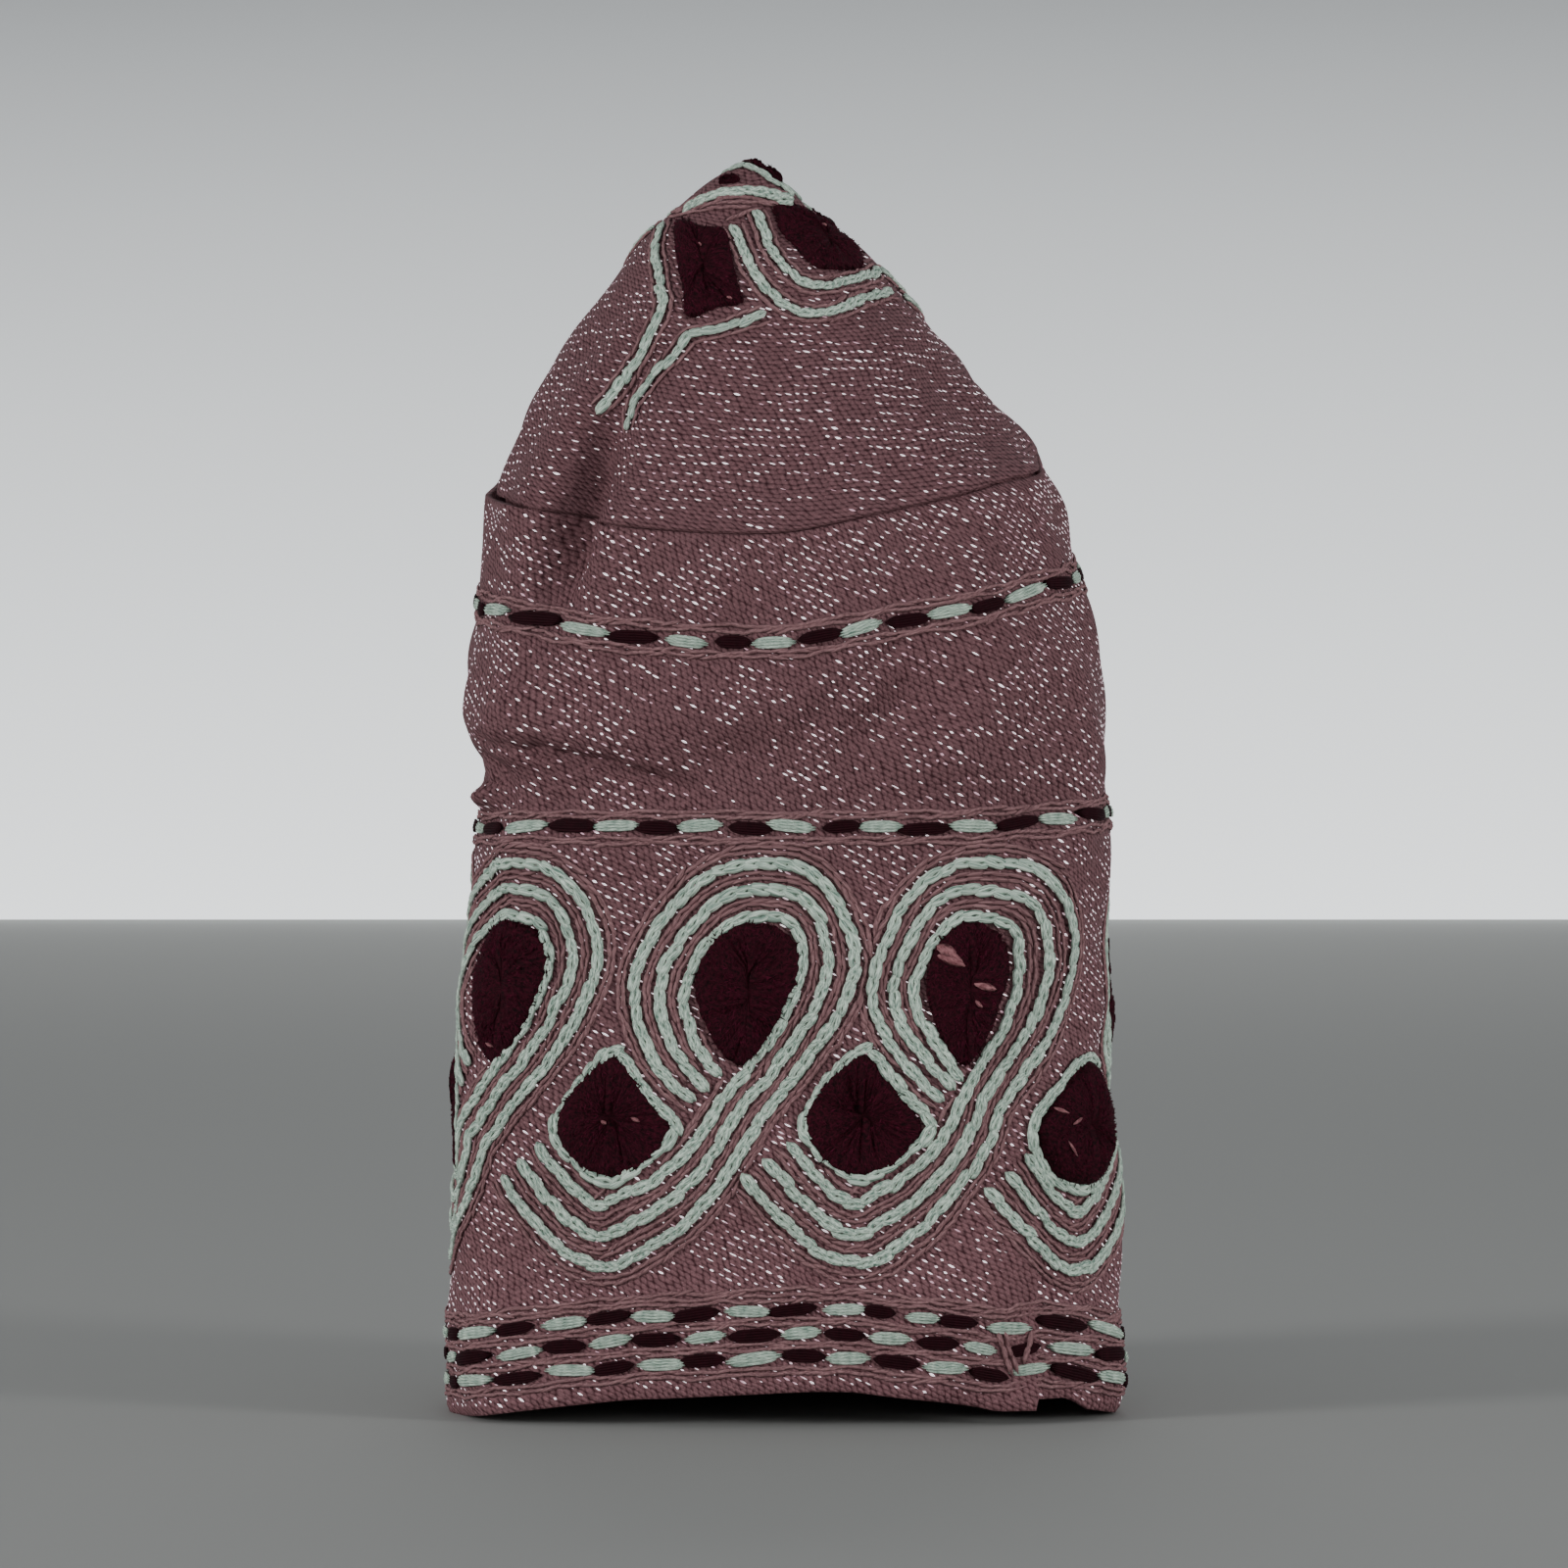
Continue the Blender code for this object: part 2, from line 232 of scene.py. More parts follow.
# The cloth's form is read from the frame as radii round an axis, then softened
clothForm = {
    "columns": 720,
    "rowStep": 0.001,
    "evenRound": 3.0,       # samples, takes out the frame's facets
    "evenUp": 1.4,
    "edgeHalvings": 6,
    "evenEdge": 2.0,
    "evenJoin": 1.5,
    "evenSeam": 9.0,
    "axisBend": 0.19,       # height where the axis starts to lean towards the crown's point
    "reach": 0.2,
    "thickness": 0.002,
}
# Creases that are finer than the frame's folds: columns and rows of both ends in the photo, width and depth
# in mm
creases = (
    (470, 748, 524, 760, 4.2, 3.4),
    (524, 760, 618, 782, 4.2, 3.6),
    (618, 782, 700, 806, 3.0, 2.0),
    (494, 754, 555, 767, 1.5, 2.8),
    (545, 765, 625, 783, 1.5, 3.0),
    (610, 780, 670, 799, 1.4, 2.2),
    (480, 826, 560, 818, 4.0, 2.0),
    (498, 814, 512, 811, 3.0, -5.5),
    (652, 380, 612, 465, 7.5, 5.2),
    (612, 465, 570, 605, 7.5, 6.4),
    (604, 430, 598, 500, 3.4, 2.6),
    (598, 500, 574, 592, 4.2, 3.6),
    (918, 652, 811, 754, 2.6, 1.8),
    (862, 742, 990, 702, 8.0, 4.4),
    (700, 770, 870, 768, 8.0, 3.0),
    (812, 425, 800, 515, 1.8, 1.2),
    (790, 400, 786, 500, 1.6, 0.9),
    (838, 430, 846, 500, 2.0, 1.1),
    (775, 440, 760, 520, 2.4, 0.9),
    (940, 360, 1010, 450, 8.0, 2.4),
    (560, 655, 590, 740, 8.0, 2.0),
    (640, 665, 730, 690, 7.0, 1.6),
    (1040, 640, 1075, 740, 8.0, 2.0),
    (960, 560, 1040, 530, 8.0, 1.6),
    (560, 590, 700, 600, 9.0, -1.6),
    (540, 862, 640, 866, 6.0, -1.2),
    (500, 1245, 530, 1330, 8.0, 1.4),
    (720, 1240, 800, 1300, 10.0, 1.4),
    (684, 224, 760, 220, 2.2, 2.0),
    (760, 220, 822, 214, 2.2, 1.6),
)
# How a crease fades to its ends, and the low ridge beside it, as a share of its depth and width
creaseForm = {"fadeFrom": 0.1, "fadeOver": 0.8, "fadePower": 0.7, "ridge": 0.25, "ridgeAt": 2.2}
# The seam between wall and crown, in the photo's pixels, and how far behind the cap that holds on
seamPixels = (
    (502, 507), (544, 516), (592, 527), (639, 538), (700, 543), (752, 546), (809, 545), (856, 534),
    (889, 525), (950, 513), (1007, 492), (1055, 479),
)
seamFade = math.radians(50)
softWaves = {"count": 26, "seed": 11, "longest": 0.070, "shortest": 0.020, "height": 0.00045, "power": 0.6}


# Finer shells for the wall and the crown
shellDetail = {
    "columns": 420,
    "wallRows": 130,
    "rowShares": (0, 0.40, 0.72, 1),    # the rows stand closer where the narrow creases are
    "heightShares": (0.012, 0.60, 0.74, 0.988),
    "crownRows": 76,
    "innerRows": 14,
    "hemRound": 0.0009,
    "hemReach": 0.0012,
    "hemRows": (0.0, 0.003, 0.007),
    "innerHem": -0.6,       # of the hem's rounding
    "seamRound": 0.25,      # of the hem's rounding
    "seat": 0.0027,         # how far in the crown lies at the seam
    "seatFade": 0.0163,
    "stepAt": math.radians(184),        # here the wall stands out from the crown
    "stepReach": math.radians(38),
    "stepSharp": 2.5,
    "groove": 0.0002,
    "grooveReach": 0.0007,
    "seatStep": 0.0006,
    "peakGap": 0.0005,
    "poleGaps": (0.0006, 0.0002),
}
# Heights above the seam of the crown's first rings
crownStart = (-0.004, -0.002, -0.0006, 0.0, 0.0006, 0.0012, 0.0020, 0.0032)


def smoothStep(value):
    share = np.clip(value, 0, 1)
    return share * share * (3 - 2 * share)


def treeOf(mesh, place=Matrix()):
    corners = [place @ v.co for v in mesh.vertices]
    return BVHTree.FromPolygons(corners, [p.vertices[:] for p in mesh.polygons])


def nearestHit(hits):
    found = [hit for hit in hits if hit[0] is not None]
    return min(found, key=lambda hit: hit[3]) if found else None


def lengthsAlong(points):
    return np.concatenate([[0], np.cumsum(np.linalg.norm(np.diff(points, axis=0), axis=1))])


def readAlong(values, lengths, at):
    return np.stack([np.interp(at, lengths, column) for column in values.T], 1)


def blur(values, spread, axis, wrap):
    reach = int(3 * spread) + 1
    offsets = np.arange(-reach, reach + 1)
    weights = np.exp(-0.5 * (offsets / spread) ** 2)
    weights /= weights.sum()
    padding = [(0, 0)] * values.ndim
    padding[axis] = (reach, reach)
    padded = np.pad(values, padding, mode="wrap" if wrap else "edge")
    size = values.shape[axis]
    parts = [w * np.take(padded, range(k, k + size), axis=axis) for k, w in enumerate(weights)]
    return sum(parts)


class Cloth:
    # The outer faces of wall and crown, as radii at every angle and height

    def __init__(self):
        nodes = {name: frame["nodes"][name] for name in ("side_wall", "crown")}
        tops = (nodes["crown"].matrix_world @ v.co for v in nodes["crown"].data.vertices)
        self.tip = max(tops, key=lambda p: p.z)
        self.count = clothForm["columns"]
        self.angles = -math.pi / 2 + 2 * math.pi * np.arange(self.count) / self.count
        self.heights = np.arange(0, self.tip.z, clothForm["rowStep"])
        self.trees = {name: treeOf(node.data, node.matrix_world) for name, node in nodes.items()}
        self.radii = {name: self.sample(tree) for name, tree in self.trees.items()}
        self.bottom = self.edges("side_wall", low=True)
        self.top = self.edges("side_wall", low=False)
        for name in self.radii:
            self.radii[name] = self.fillAndEven(self.radii[name])
        self.radii["outer"] = self.joinAtTop()
        least = math.cos(shellDetail["stepReach"])
        step = np.cos(self.angles - shellDetail["stepAt"]) - least
        step = smoothStep(step / (1 - least) * shellDetail["stepSharp"])
        for face, name in (("wallFace", "side_wall"), ("crownFace", "crown")):
            self.radii[face] = self.radii["outer"] * (1 - step) + self.radii[name] * step
        self.top = self.top + self.seamShift()
        self.addFineForm()

    def axisAt(self, height):
        share = smoothStep((height - clothForm["axisBend"]) / (self.tip.z - clothForm["axisBend"]))
        return self.tip.x * share, self.tip.y * share

    def radiusAt(self, tree, column, height):
        x, y = self.axisAt(height)
        way = Vector((math.cos(self.angles[column]), math.sin(self.angles[column]), 0))
        start = Vector((x, y, height)) + way * clothForm["reach"]
        distance = tree.ray_cast(start, -way, clothForm["reach"])[3]
        return math.nan if distance is None else clothForm["reach"] - distance

    def sample(self, tree):
        rows = [[self.radiusAt(tree, k, z) for k in range(self.count)] for z in self.heights]
        return np.array(rows)

    def edges(self, name, low):
        # Height of the cloth's lower or upper edge at every angle
        found = ~np.isnan(self.radii[name])
        made = np.zeros(self.count)
        for k in range(self.count):
            rows = np.nonzero(found[:, k])[0]
            inside = self.heights[rows[0] if low else rows[-1]]
            outside = inside - clothForm["rowStep"] if low else inside + clothForm["rowStep"]
            for _ in range(clothForm["edgeHalvings"]):
                middle = (inside + outside) / 2
                if middle >= 0 and not math.isnan(self.radiusAt(self.trees[name], k, middle)):
                    inside = middle
                else:
                    outside = middle
            made[k] = inside
        return blur(made, clothForm["evenEdge"], 0, True)

    def fillAndEven(self, radii):
        rows = np.arange(len(self.heights))
        for k in range(self.count):
            good = ~np.isnan(radii[:, k])
            radii[:, k] = np.interp(rows, rows[good], radii[good, k])
        radii = blur(radii, clothForm["evenRound"], 1, True)
        return blur(radii, clothForm["evenUp"], 0, False)

    def joinAtTop(self):
        # One face for both: above the wall's edge the crown is swelled out flush with it
        above = (self.heights[:, None] - self.top) / shellDetail["seatFade"]
        seat = shellDetail["seat"] * (1 - smoothStep(above))
        joined = np.where(above > 0, self.radii["crown"] + seat, self.radii["side_wall"])
        return blur(joined, clothForm["evenJoin"], 0, False)

    def seamShift(self):
        # How far the seam that the photo shows is from the frame's
        angles, shifts = [], []
        for column, row in seamPixels:
            spot = self.photoPoint(column, row)
            if spot:
                x, y = self.axisAt(spot.z)
                angle = math.atan2(spot.y - y, spot.x - x)
                angles.append(angle)
                shifts.append(spot.z - self.edgeAt(self.top, angle))
        angles = [min(angles) - seamFade] + angles + [max(angles) + seamFade]
        shift = np.interp(self.angles, angles, [0] + shifts + [0], period=2 * math.pi)
        return blur(shift, clothForm["evenSeam"], 0, True)

    def grid(self, name):
        # Points of the whole surface, a row for each height and a column for each angle
        x, y = self.axisAt(self.heights)
        radii = self.radii[name]
        return np.stack([
            x[:, None] + radii * np.cos(self.angles),
            y[:, None] + radii * np.sin(self.angles),
            np.broadcast_to(self.heights[:, None], radii.shape),
        ], 2)

    def photoPoint(self, column, row):
        # The place on the cloth that a pixel of the photo shows
        hit = nearestHit(tree.ray_cast(*photoRay(column, row)) for tree in self.trees.values())
        return hit[0] if hit else None

    def addFineForm(self):
        rng = np.random.default_rng(softWaves["seed"])
        lines = []
        for startColumn, startRow, endColumn, endRow, width, depth in creases:
            start, end = self.photoPoint(startColumn, startRow), self.photoPoint(endColumn, endRow)
            if start and end:
                lines.append((np.array(start), np.array(end), width / 1000, depth / 1000))
        waves = []
        for _ in range(softWaves["count"]):
            length = math.exp(rng.uniform(math.log(softWaves["shortest"]), math.log(softWaves["longest"])))
            way = rng.normal(size=3)
            waves.append((way / np.linalg.norm(way) * 2 * math.pi / length, rng.uniform(0, 6.28), length))
        points = self.grid("outer")
        change = np.zeros(points.shape[:2])
        for start, end, width, depth in lines:
            run = end - start
            share = np.clip((points - start) @ run / (run @ run), 0, 1)
            away = np.linalg.norm(points - start - share[..., None] * run, axis=2) / width
            fade = np.sin(math.pi * (creaseForm["fadeFrom"] + creaseForm["fadeOver"] * share))
            ridge = creaseForm["ridge"] * np.exp(-((away - creaseForm["ridgeAt"]) ** 2))
            change -= depth * fade ** creaseForm["fadePower"] * (np.exp(-away * away) - ridge)
        for way, phase, length in waves:
            height = softWaves["height"] * (length / softWaves["longest"]) ** softWaves["power"]
            change += height * np.sin(points @ way + phase)
        for name in self.radii:
            self.radii[name] = self.radii[name] + change

    def columnOf(self, angle):
        return ((np.asarray(angle) + math.pi / 2) / (2 * math.pi) * self.count) % self.count

    def placeAt(self, name, angle, height):
        column = self.columnOf(angle)
        row = np.clip(height / clothForm["rowStep"], 0, len(self.heights) - 1.001)
        c0, r0 = np.floor(column).astype(int) % self.count, np.floor(row).astype(int)
        fc, fr = column - np.floor(column), row - r0
        c1, r1 = (c0 + 1) % self.count, r0 + 1
        radii = self.radii[name]
        radius = (
            radii[r0, c0] * (1 - fc) * (1 - fr) + radii[r0, c1] * fc * (1 - fr)
            + radii[r1, c0] * (1 - fc) * fr + radii[r1, c1] * fc * fr
        )
        x, y = self.axisAt(height)
        return np.stack([x + radius * np.cos(angle), y + radius * np.sin(angle), height], -1)

    def pointsAt(self, name, angle, height):
        # Points and outward normals of the cloth at arrays of angles and heights
        aside, over = 0.006, 0.001
        angle, height = np.broadcast_arrays(np.asarray(angle, float), np.asarray(height, float))
        around = self.placeAt(name, angle + aside, height) - self.placeAt(name, angle - aside, height)
        low = np.maximum(height - over, 0)
        up = self.placeAt(name, angle, height + over) - self.placeAt(name, angle, low)
        normal = np.cross(around, up)
        normal /= np.linalg.norm(normal, axis=-1, keepdims=True)
        return self.placeAt(name, angle, height), normal

    def edgeAt(self, edge, angle):
        return np.interp(self.columnOf(angle), np.arange(self.count + 1), np.append(edge, edge[0]))


cloth = Cloth()
print("cloth form read from the frame")

# Lengths round the cap, from the middle of the front towards +X, and the angles that they stand for
referenceHeight = 0.100
loopAngles = np.append(cloth.angles, cloth.angles[0] + 2 * math.pi)
loopLengths = lengthsAlong(cloth.pointsAt("outer", loopAngles, referenceHeight)[0])
girth = loopLengths[-1]


def angleOf(length):
    # Angle round the axis for a length round the cap
    turns = np.floor(np.asarray(length) / girth)
    return np.interp(length - turns * girth, loopLengths, loopAngles) + 2 * math.pi * turns


def lengthOf(angle):
    return np.interp((angle + math.pi / 2) % (2 * math.pi) - math.pi / 2, loopAngles, loopLengths)


# Helpers for meshes
def meshFrom(name, corners, faces, flat):
    mesh = bpy.data.meshes.new(name)
    mesh.from_pydata(np.asarray(corners, float).tolist(), [], faces)
    mesh.uv_layers.new(name="UVMap").data.foreach_set("uv", np.array(flat, dtype=np.float32).ravel())
    return mesh


def addPiece(name, mesh, material):
    mesh.materials.clear()
    mesh.materials.append(material)
    mesh.shade_smooth()
    piece = linkNew(name, mesh)
    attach(piece, "root")
    return piece


def loftRings(name, rings, flatRings, poles=None):
    # A closed skin over rings of points. flatRings are the rings' places on the flat cloth, for the weave
    ringCount, count = rings.shape[:2]
    corners = rings.reshape(-1, 3)
    faces, flat = [], []
    for i in range(ringCount if poles is None else ringCount - 1):
        j = (i + 1) % ringCount
        for k in range(count):
            after = (k + 1) % count
            faces.append((i * count + k, i * count + after, j * count + after, j * count + k))
            flat += [flatRings[i, k], flatRings[i, k + 1], flatRings[j, k + 1], flatRings[j, k]]
    if poles is not None:
        first, last = len(corners), len(corners) + 1
        corners = np.concatenate([corners, poles])
        top = (ringCount - 1) * count
        for k in range(count):
            after = (k + 1) % count
            faces += [(after, k, first), (top + k, top + after, last)]
            flat += [flatRings[0, k + 1], flatRings[0, k], flatRings[0, k]]
            flat += [flatRings[-1, k], flatRings[-1, k + 1], flatRings[-1, k]]
    return meshFrom(name, corners, faces, flat)


# Woven cloth: staggered scales, in mm on the flat cloth's own map, turned by the slant of the weave
weaves = {
    "wallWeave": {
        "light": (0.250, 0.128, 0.139), "dark": (0.142, 0.064, 0.071), "gap": (0.045, 0.014, 0.018),
        "cellWidth": 2.0, "cellHeight": 1.15, "slant": 27, "uneven": 0.30, "bump": 0.75, "paintedRimLight": 1.18,
    },
    "crownWeave": {
        "light": (0.250, 0.128, 0.139), "dark": (0.142, 0.064, 0.071), "gap": (0.042, 0.013, 0.017),
        "cellWidth": 2.1, "cellHeight": 1.35, "slant": 8, "uneven": 0.22, "bump": 0.80, "paintedRimLight": 1.0,
    },
}
# Noises are given as scale, detail and roughness, and ranges as from low, from high, to low and to high
weaveLook = {
    "roughness": 0.72,
    "wander": (1.5, 1.5, 0),
    "wanderNoise": (0.22, 3),
    "grain": (2.6, 4),
    "gapRange": (0.34, 0.66),
    "tone": (0.9, 6, 0.7),      # broad, faint differences of tone, and finer ones from scale to scale
    "toneRange": (0.32, 0.68, 0.62, 1.42),
    # painted light: the wall's cloth is made paler towards the rim
    "rimHeights": (0.04, 0.16),     # the cloth is paler towards the rim
    "scaleDepth": -1.3,
    "bumpDistance": 0.0005,
}


def clothMaterial(name):
    look = weaves[name]
    material, tree, shader = newMaterial(name, look["light"], weaveLook["roughness"])
    flat = addNode(tree, "ShaderNodeMapping", {
        "Vector": addNode(tree, "ShaderNodeUVMap", uv_map="UVMap"),
        "Rotation": (0, 0, math.radians(look["slant"])), "Scale": (1000, 1000, 1000),
    })
    wander = addNoise(tree, flat, *weaveLook["wanderNoise"]).outputs["Color"]
    parts = addNode(tree, "ShaderNodeSeparateXYZ", {
        0: addVectorMath(tree, "MULTIPLY_ADD", wander, weaveLook["wander"], flat),
    }).outputs
    # Each row of scales is pushed half a scale along from the one below it
    row = addMath(tree, "DIVIDE", parts["Y"], look["cellHeight"])
    column = addMath(tree, "DIVIDE", parts["X"], look["cellWidth"])
    pushed = addMath(tree, "MULTIPLY_ADD", row, 0.5, column)
    scales = addNode(tree, "ShaderNodeTexVoronoi", {
        "Vector": addNode(tree, "ShaderNodeCombineXYZ", {"X": pushed, "Y": row}),
        "Scale": 1, "Randomness": look["uneven"],
    }, voronoi_dimensions="2D")
    grain = addNoise(tree, flat, *weaveLook["grain"])
    body = mixColours(tree, grain, look["dark"], look["light"])
    whole = mixColours(tree, addRange(tree, scales, *weaveLook["gapRange"]), body, look["gap"])
    shade = addRange(tree, addNoise(tree, flat, *weaveLook["tone"]), *weaveLook["toneRange"])
    height = addNode(tree, "ShaderNodeSeparateXYZ", {0: objectPlace(tree)}).outputs["Z"]
    # Painted light: the wall's cloth is made paler towards the rim, the crown's is not
    paintedBrightening = addRange(tree, height, *weaveLook["rimHeights"], look["paintedRimLight"], 1)
    tint = addVectorMath(tree, "SCALE", whole, Scale=addMath(tree, "MULTIPLY", shade, paintedBrightening))
    bump = addNode(tree, "ShaderNodeBump", {
        "Height": addMath(tree, "MULTIPLY_ADD", scales, weaveLook["scaleDepth"], grain),
        "Strength": look["bump"], "Distance": weaveLook["bumpDistance"],
    })
    feed(tree, shader, {"Base Color": tint, "Normal": bump})
    return material


# Threads: colour, its darker partner, how fine the fibres are along and across a stitch, and how far they
# drift from stitch to stitch
threadColumns = ("light", "dark", "roughness", "fibres", "drift", "bump", "range")
threads = {
    "mintWool": ((0.80, 0.94, 0.80), (0.13, 0.23, 0.18), 0.75, (2.6, 12, 0), 420, 1.0, (0.33, 0.63)),
    "mauveWool": ((0.37, 0.205, 0.212), (0.135, 0.062, 0.068), 0.8, (2.2, 6, 0), 500, 0.7, (0.30, 0.66)),
    "fleckWool": ((0.42, 0.19, 0.20), (0.12, 0.03, 0.04), 0.7, (2.2, 6, 0), 500, 0.5, (0.30, 0.66)),
    "maroonSilk": ((0.034, 0.0016, 0.007), (0.008, 0.0004, 0.0014), 0.75, (3, 12, 0), 500, 0.4, (0.30, 0.75)),
    "maroonPile": ((0.06, 0.003, 0.013), (0.006, 0.0003, 0.0012), 0.85, (5, 60, 0), 1100, 1.0, (0.34, 0.72)),
    "maroonNap": ((0.095, 0.0050, 0.024), (0.012, 0.0006, 0.0024), 0.8, (1, 1, 0), 700, 0.2, (0.34, 0.70)),
}
fibreNoise = (1, 3, 0.6)        # scale, detail and roughness
fibreDepth = 0.0004


def threadMaterial(name):
    look = dict(zip(threadColumns, threads[name]))
    material, tree, shader = newMaterial(name, look["light"], look["roughness"])
    drift = addVectorMath(tree, "SCALE", objectPlace(tree), Scale=look["drift"])
    flat = addNode(tree, "ShaderNodeUVMap", uv_map="UVMap")
    along = addVectorMath(tree, "MULTIPLY_ADD", flat, look["fibres"], drift)
    fibre = addNoise(tree, along, *fibreNoise)
    colour = mixColours(tree, addRange(tree, fibre, *look["range"]), look["dark"], look["light"])
    bump = addNode(tree, "ShaderNodeBump", {
        "Height": fibre, "Strength": look["bump"], "Distance": fibreDepth,
    })
    feed(tree, shader, {"Base Color": colour, "Normal": bump})
    return material


# Painted highlights: the glints' material glows by itself, and a noise paints some bright and some dim,
# standing in for which floats catch the light
glintLook = {
    "bright": (1.0, 0.88, 0.93), "dim": (0.42, 0.25, 0.30), "roughness": 0.3, "glow": 1.1,
    "noise": (260, 1), "stops": (0.40, 0.56),
}


def glintMaterial():
    material, tree, shader = newMaterial("glint", glintLook["bright"], glintLook["roughness"])
    shine = addNoise(tree, objectPlace(tree), *glintLook["noise"])
    ramp = addNode(tree, "ShaderNodeValToRGB", {"Fac": shine})
    for stop, position, tone in zip(ramp.color_ramp.elements, glintLook["stops"], ("dim", "bright")):
        stop.position, stop.color = position, (*glintLook[tone], 1)
    feed(tree, shader, {"Base Color": ramp, "Emission Color": ramp, "Emission Strength": glintLook["glow"]})
    return material


materials = {name: clothMaterial(name) for name in weaves}
materials.update({name: threadMaterial(name) for name in threads})
materials["glint"] = glintMaterial()

# The wall's two ends lap over each other here
lapLength = 0.119 * girth
lapLook = {"leftEdge": 0.0034, "rightEdge": 0.0064, "reach": 0.014, "over": 0.0010, "height": 0.060}


def addWallShell():
    count = shellDetail["columns"]
    angles = angleOf(lapLength) + 2 * math.pi * np.arange(count) / count
    low, high = cloth.edgeAt(cloth.bottom, angles), cloth.edgeAt(cloth.top, angles)
    away = girth * np.arange(count) / count
    left, right = away > girth - lapLook["reach"], away < lapLook["reach"]
    fade = np.clip(1 - np.minimum(away, girth - away) / lapLook["reach"], 0, 1)
    low = np.where(left, low + (lapLook["leftEdge"] - low) * fade ** 0.7, low)
    low = np.where(right, low + (lapLook["rightEdge"] - low) * np.minimum(1, 2 * fade), low)
    over = np.where(left, lapLook["over"] * fade, 0)
    reach = shellDetail["hemReach"]

    def face(shares, inset):
        heights = low + (high - low) * shares[:, None]
        points, normals = cloth.pointsAt("wallFace", angles, heights)
        near = np.minimum(heights - low, high - heights)
        rounding = shellDetail["hemRound"] * np.exp(-((near / reach) ** 2))
        rounding = np.where(heights - low < high - heights, rounding, rounding * shellDetail["seamRound"])
        rounding = rounding * (1 if inset == 0 else shellDetail["innerHem"])
        raised = over * (1 - smoothStep((heights - low) / lapLook["height"]))
        return points - normals * (inset + rounding - raised)[..., None], heights

    ends = np.array(shellDetail["hemRows"])
    rows = np.linspace(0, 1, shellDetail["wallRows"] - 2 * len(ends))
    fine = np.interp(rows, shellDetail["rowShares"], shellDetail["heightShares"])
    shares = np.concatenate([ends, fine, 1 - ends[::-1]])
    innerShares = np.linspace(1, 0, shellDetail["innerRows"])
    outer, outerHeights = face(shares, 0.0)
    inner, innerHeights = face(innerShares, clothForm["thickness"])
    lengths = lapLength + girth * np.arange(count + 1) / count
    rings = np.concatenate([outer, inner])
    heights = np.concatenate([outerHeights, innerHeights])
    heights = np.concatenate([heights, heights[:, :1]], axis=1)
    flat = np.stack([np.broadcast_to(lengths, heights.shape), heights], 2)
    piece = addPiece("capWall", loftRings("capWall", rings, flat), materials["wallWeave"])
    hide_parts("side_wall")
    return piece


def addCrownShell():
    count = shellDetail["columns"]
    angles = math.pi / 2 + 2 * math.pi * np.arange(count) / count
    seam = cloth.edgeAt(cloth.top, angles)
    peak = cloth.tip.z - shellDetail["peakGap"]
    rising = np.sin(np.linspace(0, math.pi / 2, shellDetail["crownRows"] - len(crownStart) + 1)[1:])
    start = seam + np.array(crownStart)[:, None]
    heights = np.concatenate([start, start[-1] + (peak - start[-1]) * rising[:, None]])
    points, normals = cloth.pointsAt("crownFace", angles, heights)
    above = heights - seam
    sunk = shellDetail["groove"] * np.exp(-((above / shellDetail["grooveReach"]) ** 2))
    sunk = sunk + (shellDetail["seat"] - sunk) * (1 - smoothStep(above / shellDetail["seatStep"]))
    points = points - np.stack([sunk * np.cos(angles), sunk * np.sin(angles), 0 * sunk], 2)
    picked = np.unique(np.linspace(0, len(heights) - 1, shellDetail["innerRows"]).astype(int))[::-1]
    inner = (points - normals * clothForm["thickness"])[picked]
    rings = np.concatenate([inner, points])
    tip = np.array(cloth.tip)
    innerGap, outerGap = shellDetail["poleGaps"]
    poles = np.array([tip - (0, 0, clothForm["thickness"] + innerGap), tip - (0, 0, outerGap)])
    closed = np.concatenate([rings, rings[:, :1]], axis=1)
    steps = np.linalg.norm(np.diff(closed, axis=1), axis=2)
    around = np.concatenate([np.zeros((len(rings), 1)), np.cumsum(steps, axis=1)], axis=1)
    around -= around[:, -1:] / 2
    up = lengthsAlong(rings[:, count // 2])
    flat = np.stack([around, np.broadcast_to(up[:, None], around.shape)], 2)
    mesh = loftRings("capCrown", rings, flat, poles)
    piece = addPiece("capCrown", mesh, materials["crownWeave"])
    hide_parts("crown")
    return piece


shellTrees = [treeOf(shell.data) for shell in (addWallShell(), addCrownShell())]
print("cloth shells stand in for wall and crown")


def hitCloth(start, way):
    # The place where a ray meets the shells, and the normal there, towards the ray's start
    hit = nearestHit(tree.ray_cast(start, way) for tree in shellTrees)
    return hit and (hit[0], hit[1] if hit[1].dot(way) < 0 else -hit[1])


def seamHeight(angle):
    return cloth.edgeAt(cloth.top, angle)


# Paths of stitches. A flat path holds lengths round the cap and heights; a laid path has points and normals
def smoothPath(corners, closed=False, perLeg=12):
    corners = np.asarray(corners, float)
    if closed:
        padded = np.concatenate([corners[-1:], corners, corners[:2]])
    else:
        ends = 2 * corners[:1] - corners[1:2], 2 * corners[-1:] - corners[-2:-1]
        padded = np.concatenate([ends[0], corners, ends[1]])
    t = np.linspace(0, 1, perLeg, endpoint=False)[:, None]
    parts = []
    for a, b, c, d in zip(padded, padded[1:], padded[2:], padded[3:]):
        bent = 2 * b + (c - a) * t + (2 * a - 5 * b + 4 * c - d) * t**2
        parts.append(0.5 * (bent + (3 * b - a - 3 * c + d) * t**3))
    parts.append(corners[:1] if closed else corners[-1:])
    return np.concatenate(parts)


def offsetPath(path, distance):
    # distance is one number or one for each point
    run = np.gradient(path, axis=0)
    run /= np.linalg.norm(run, axis=1, keepdims=True)
    distance = np.broadcast_to(distance, len(path))
    moved = path + distance[:, None] * np.stack([-run[:, 1], run[:, 0]], 1)
    gaps = np.linalg.norm(moved[:, None] - path[None], axis=2).min(axis=1)
    nearest = 0.93          # of the distance, else the line has crossed itself
    return moved[gaps > np.abs(distance) * nearest]


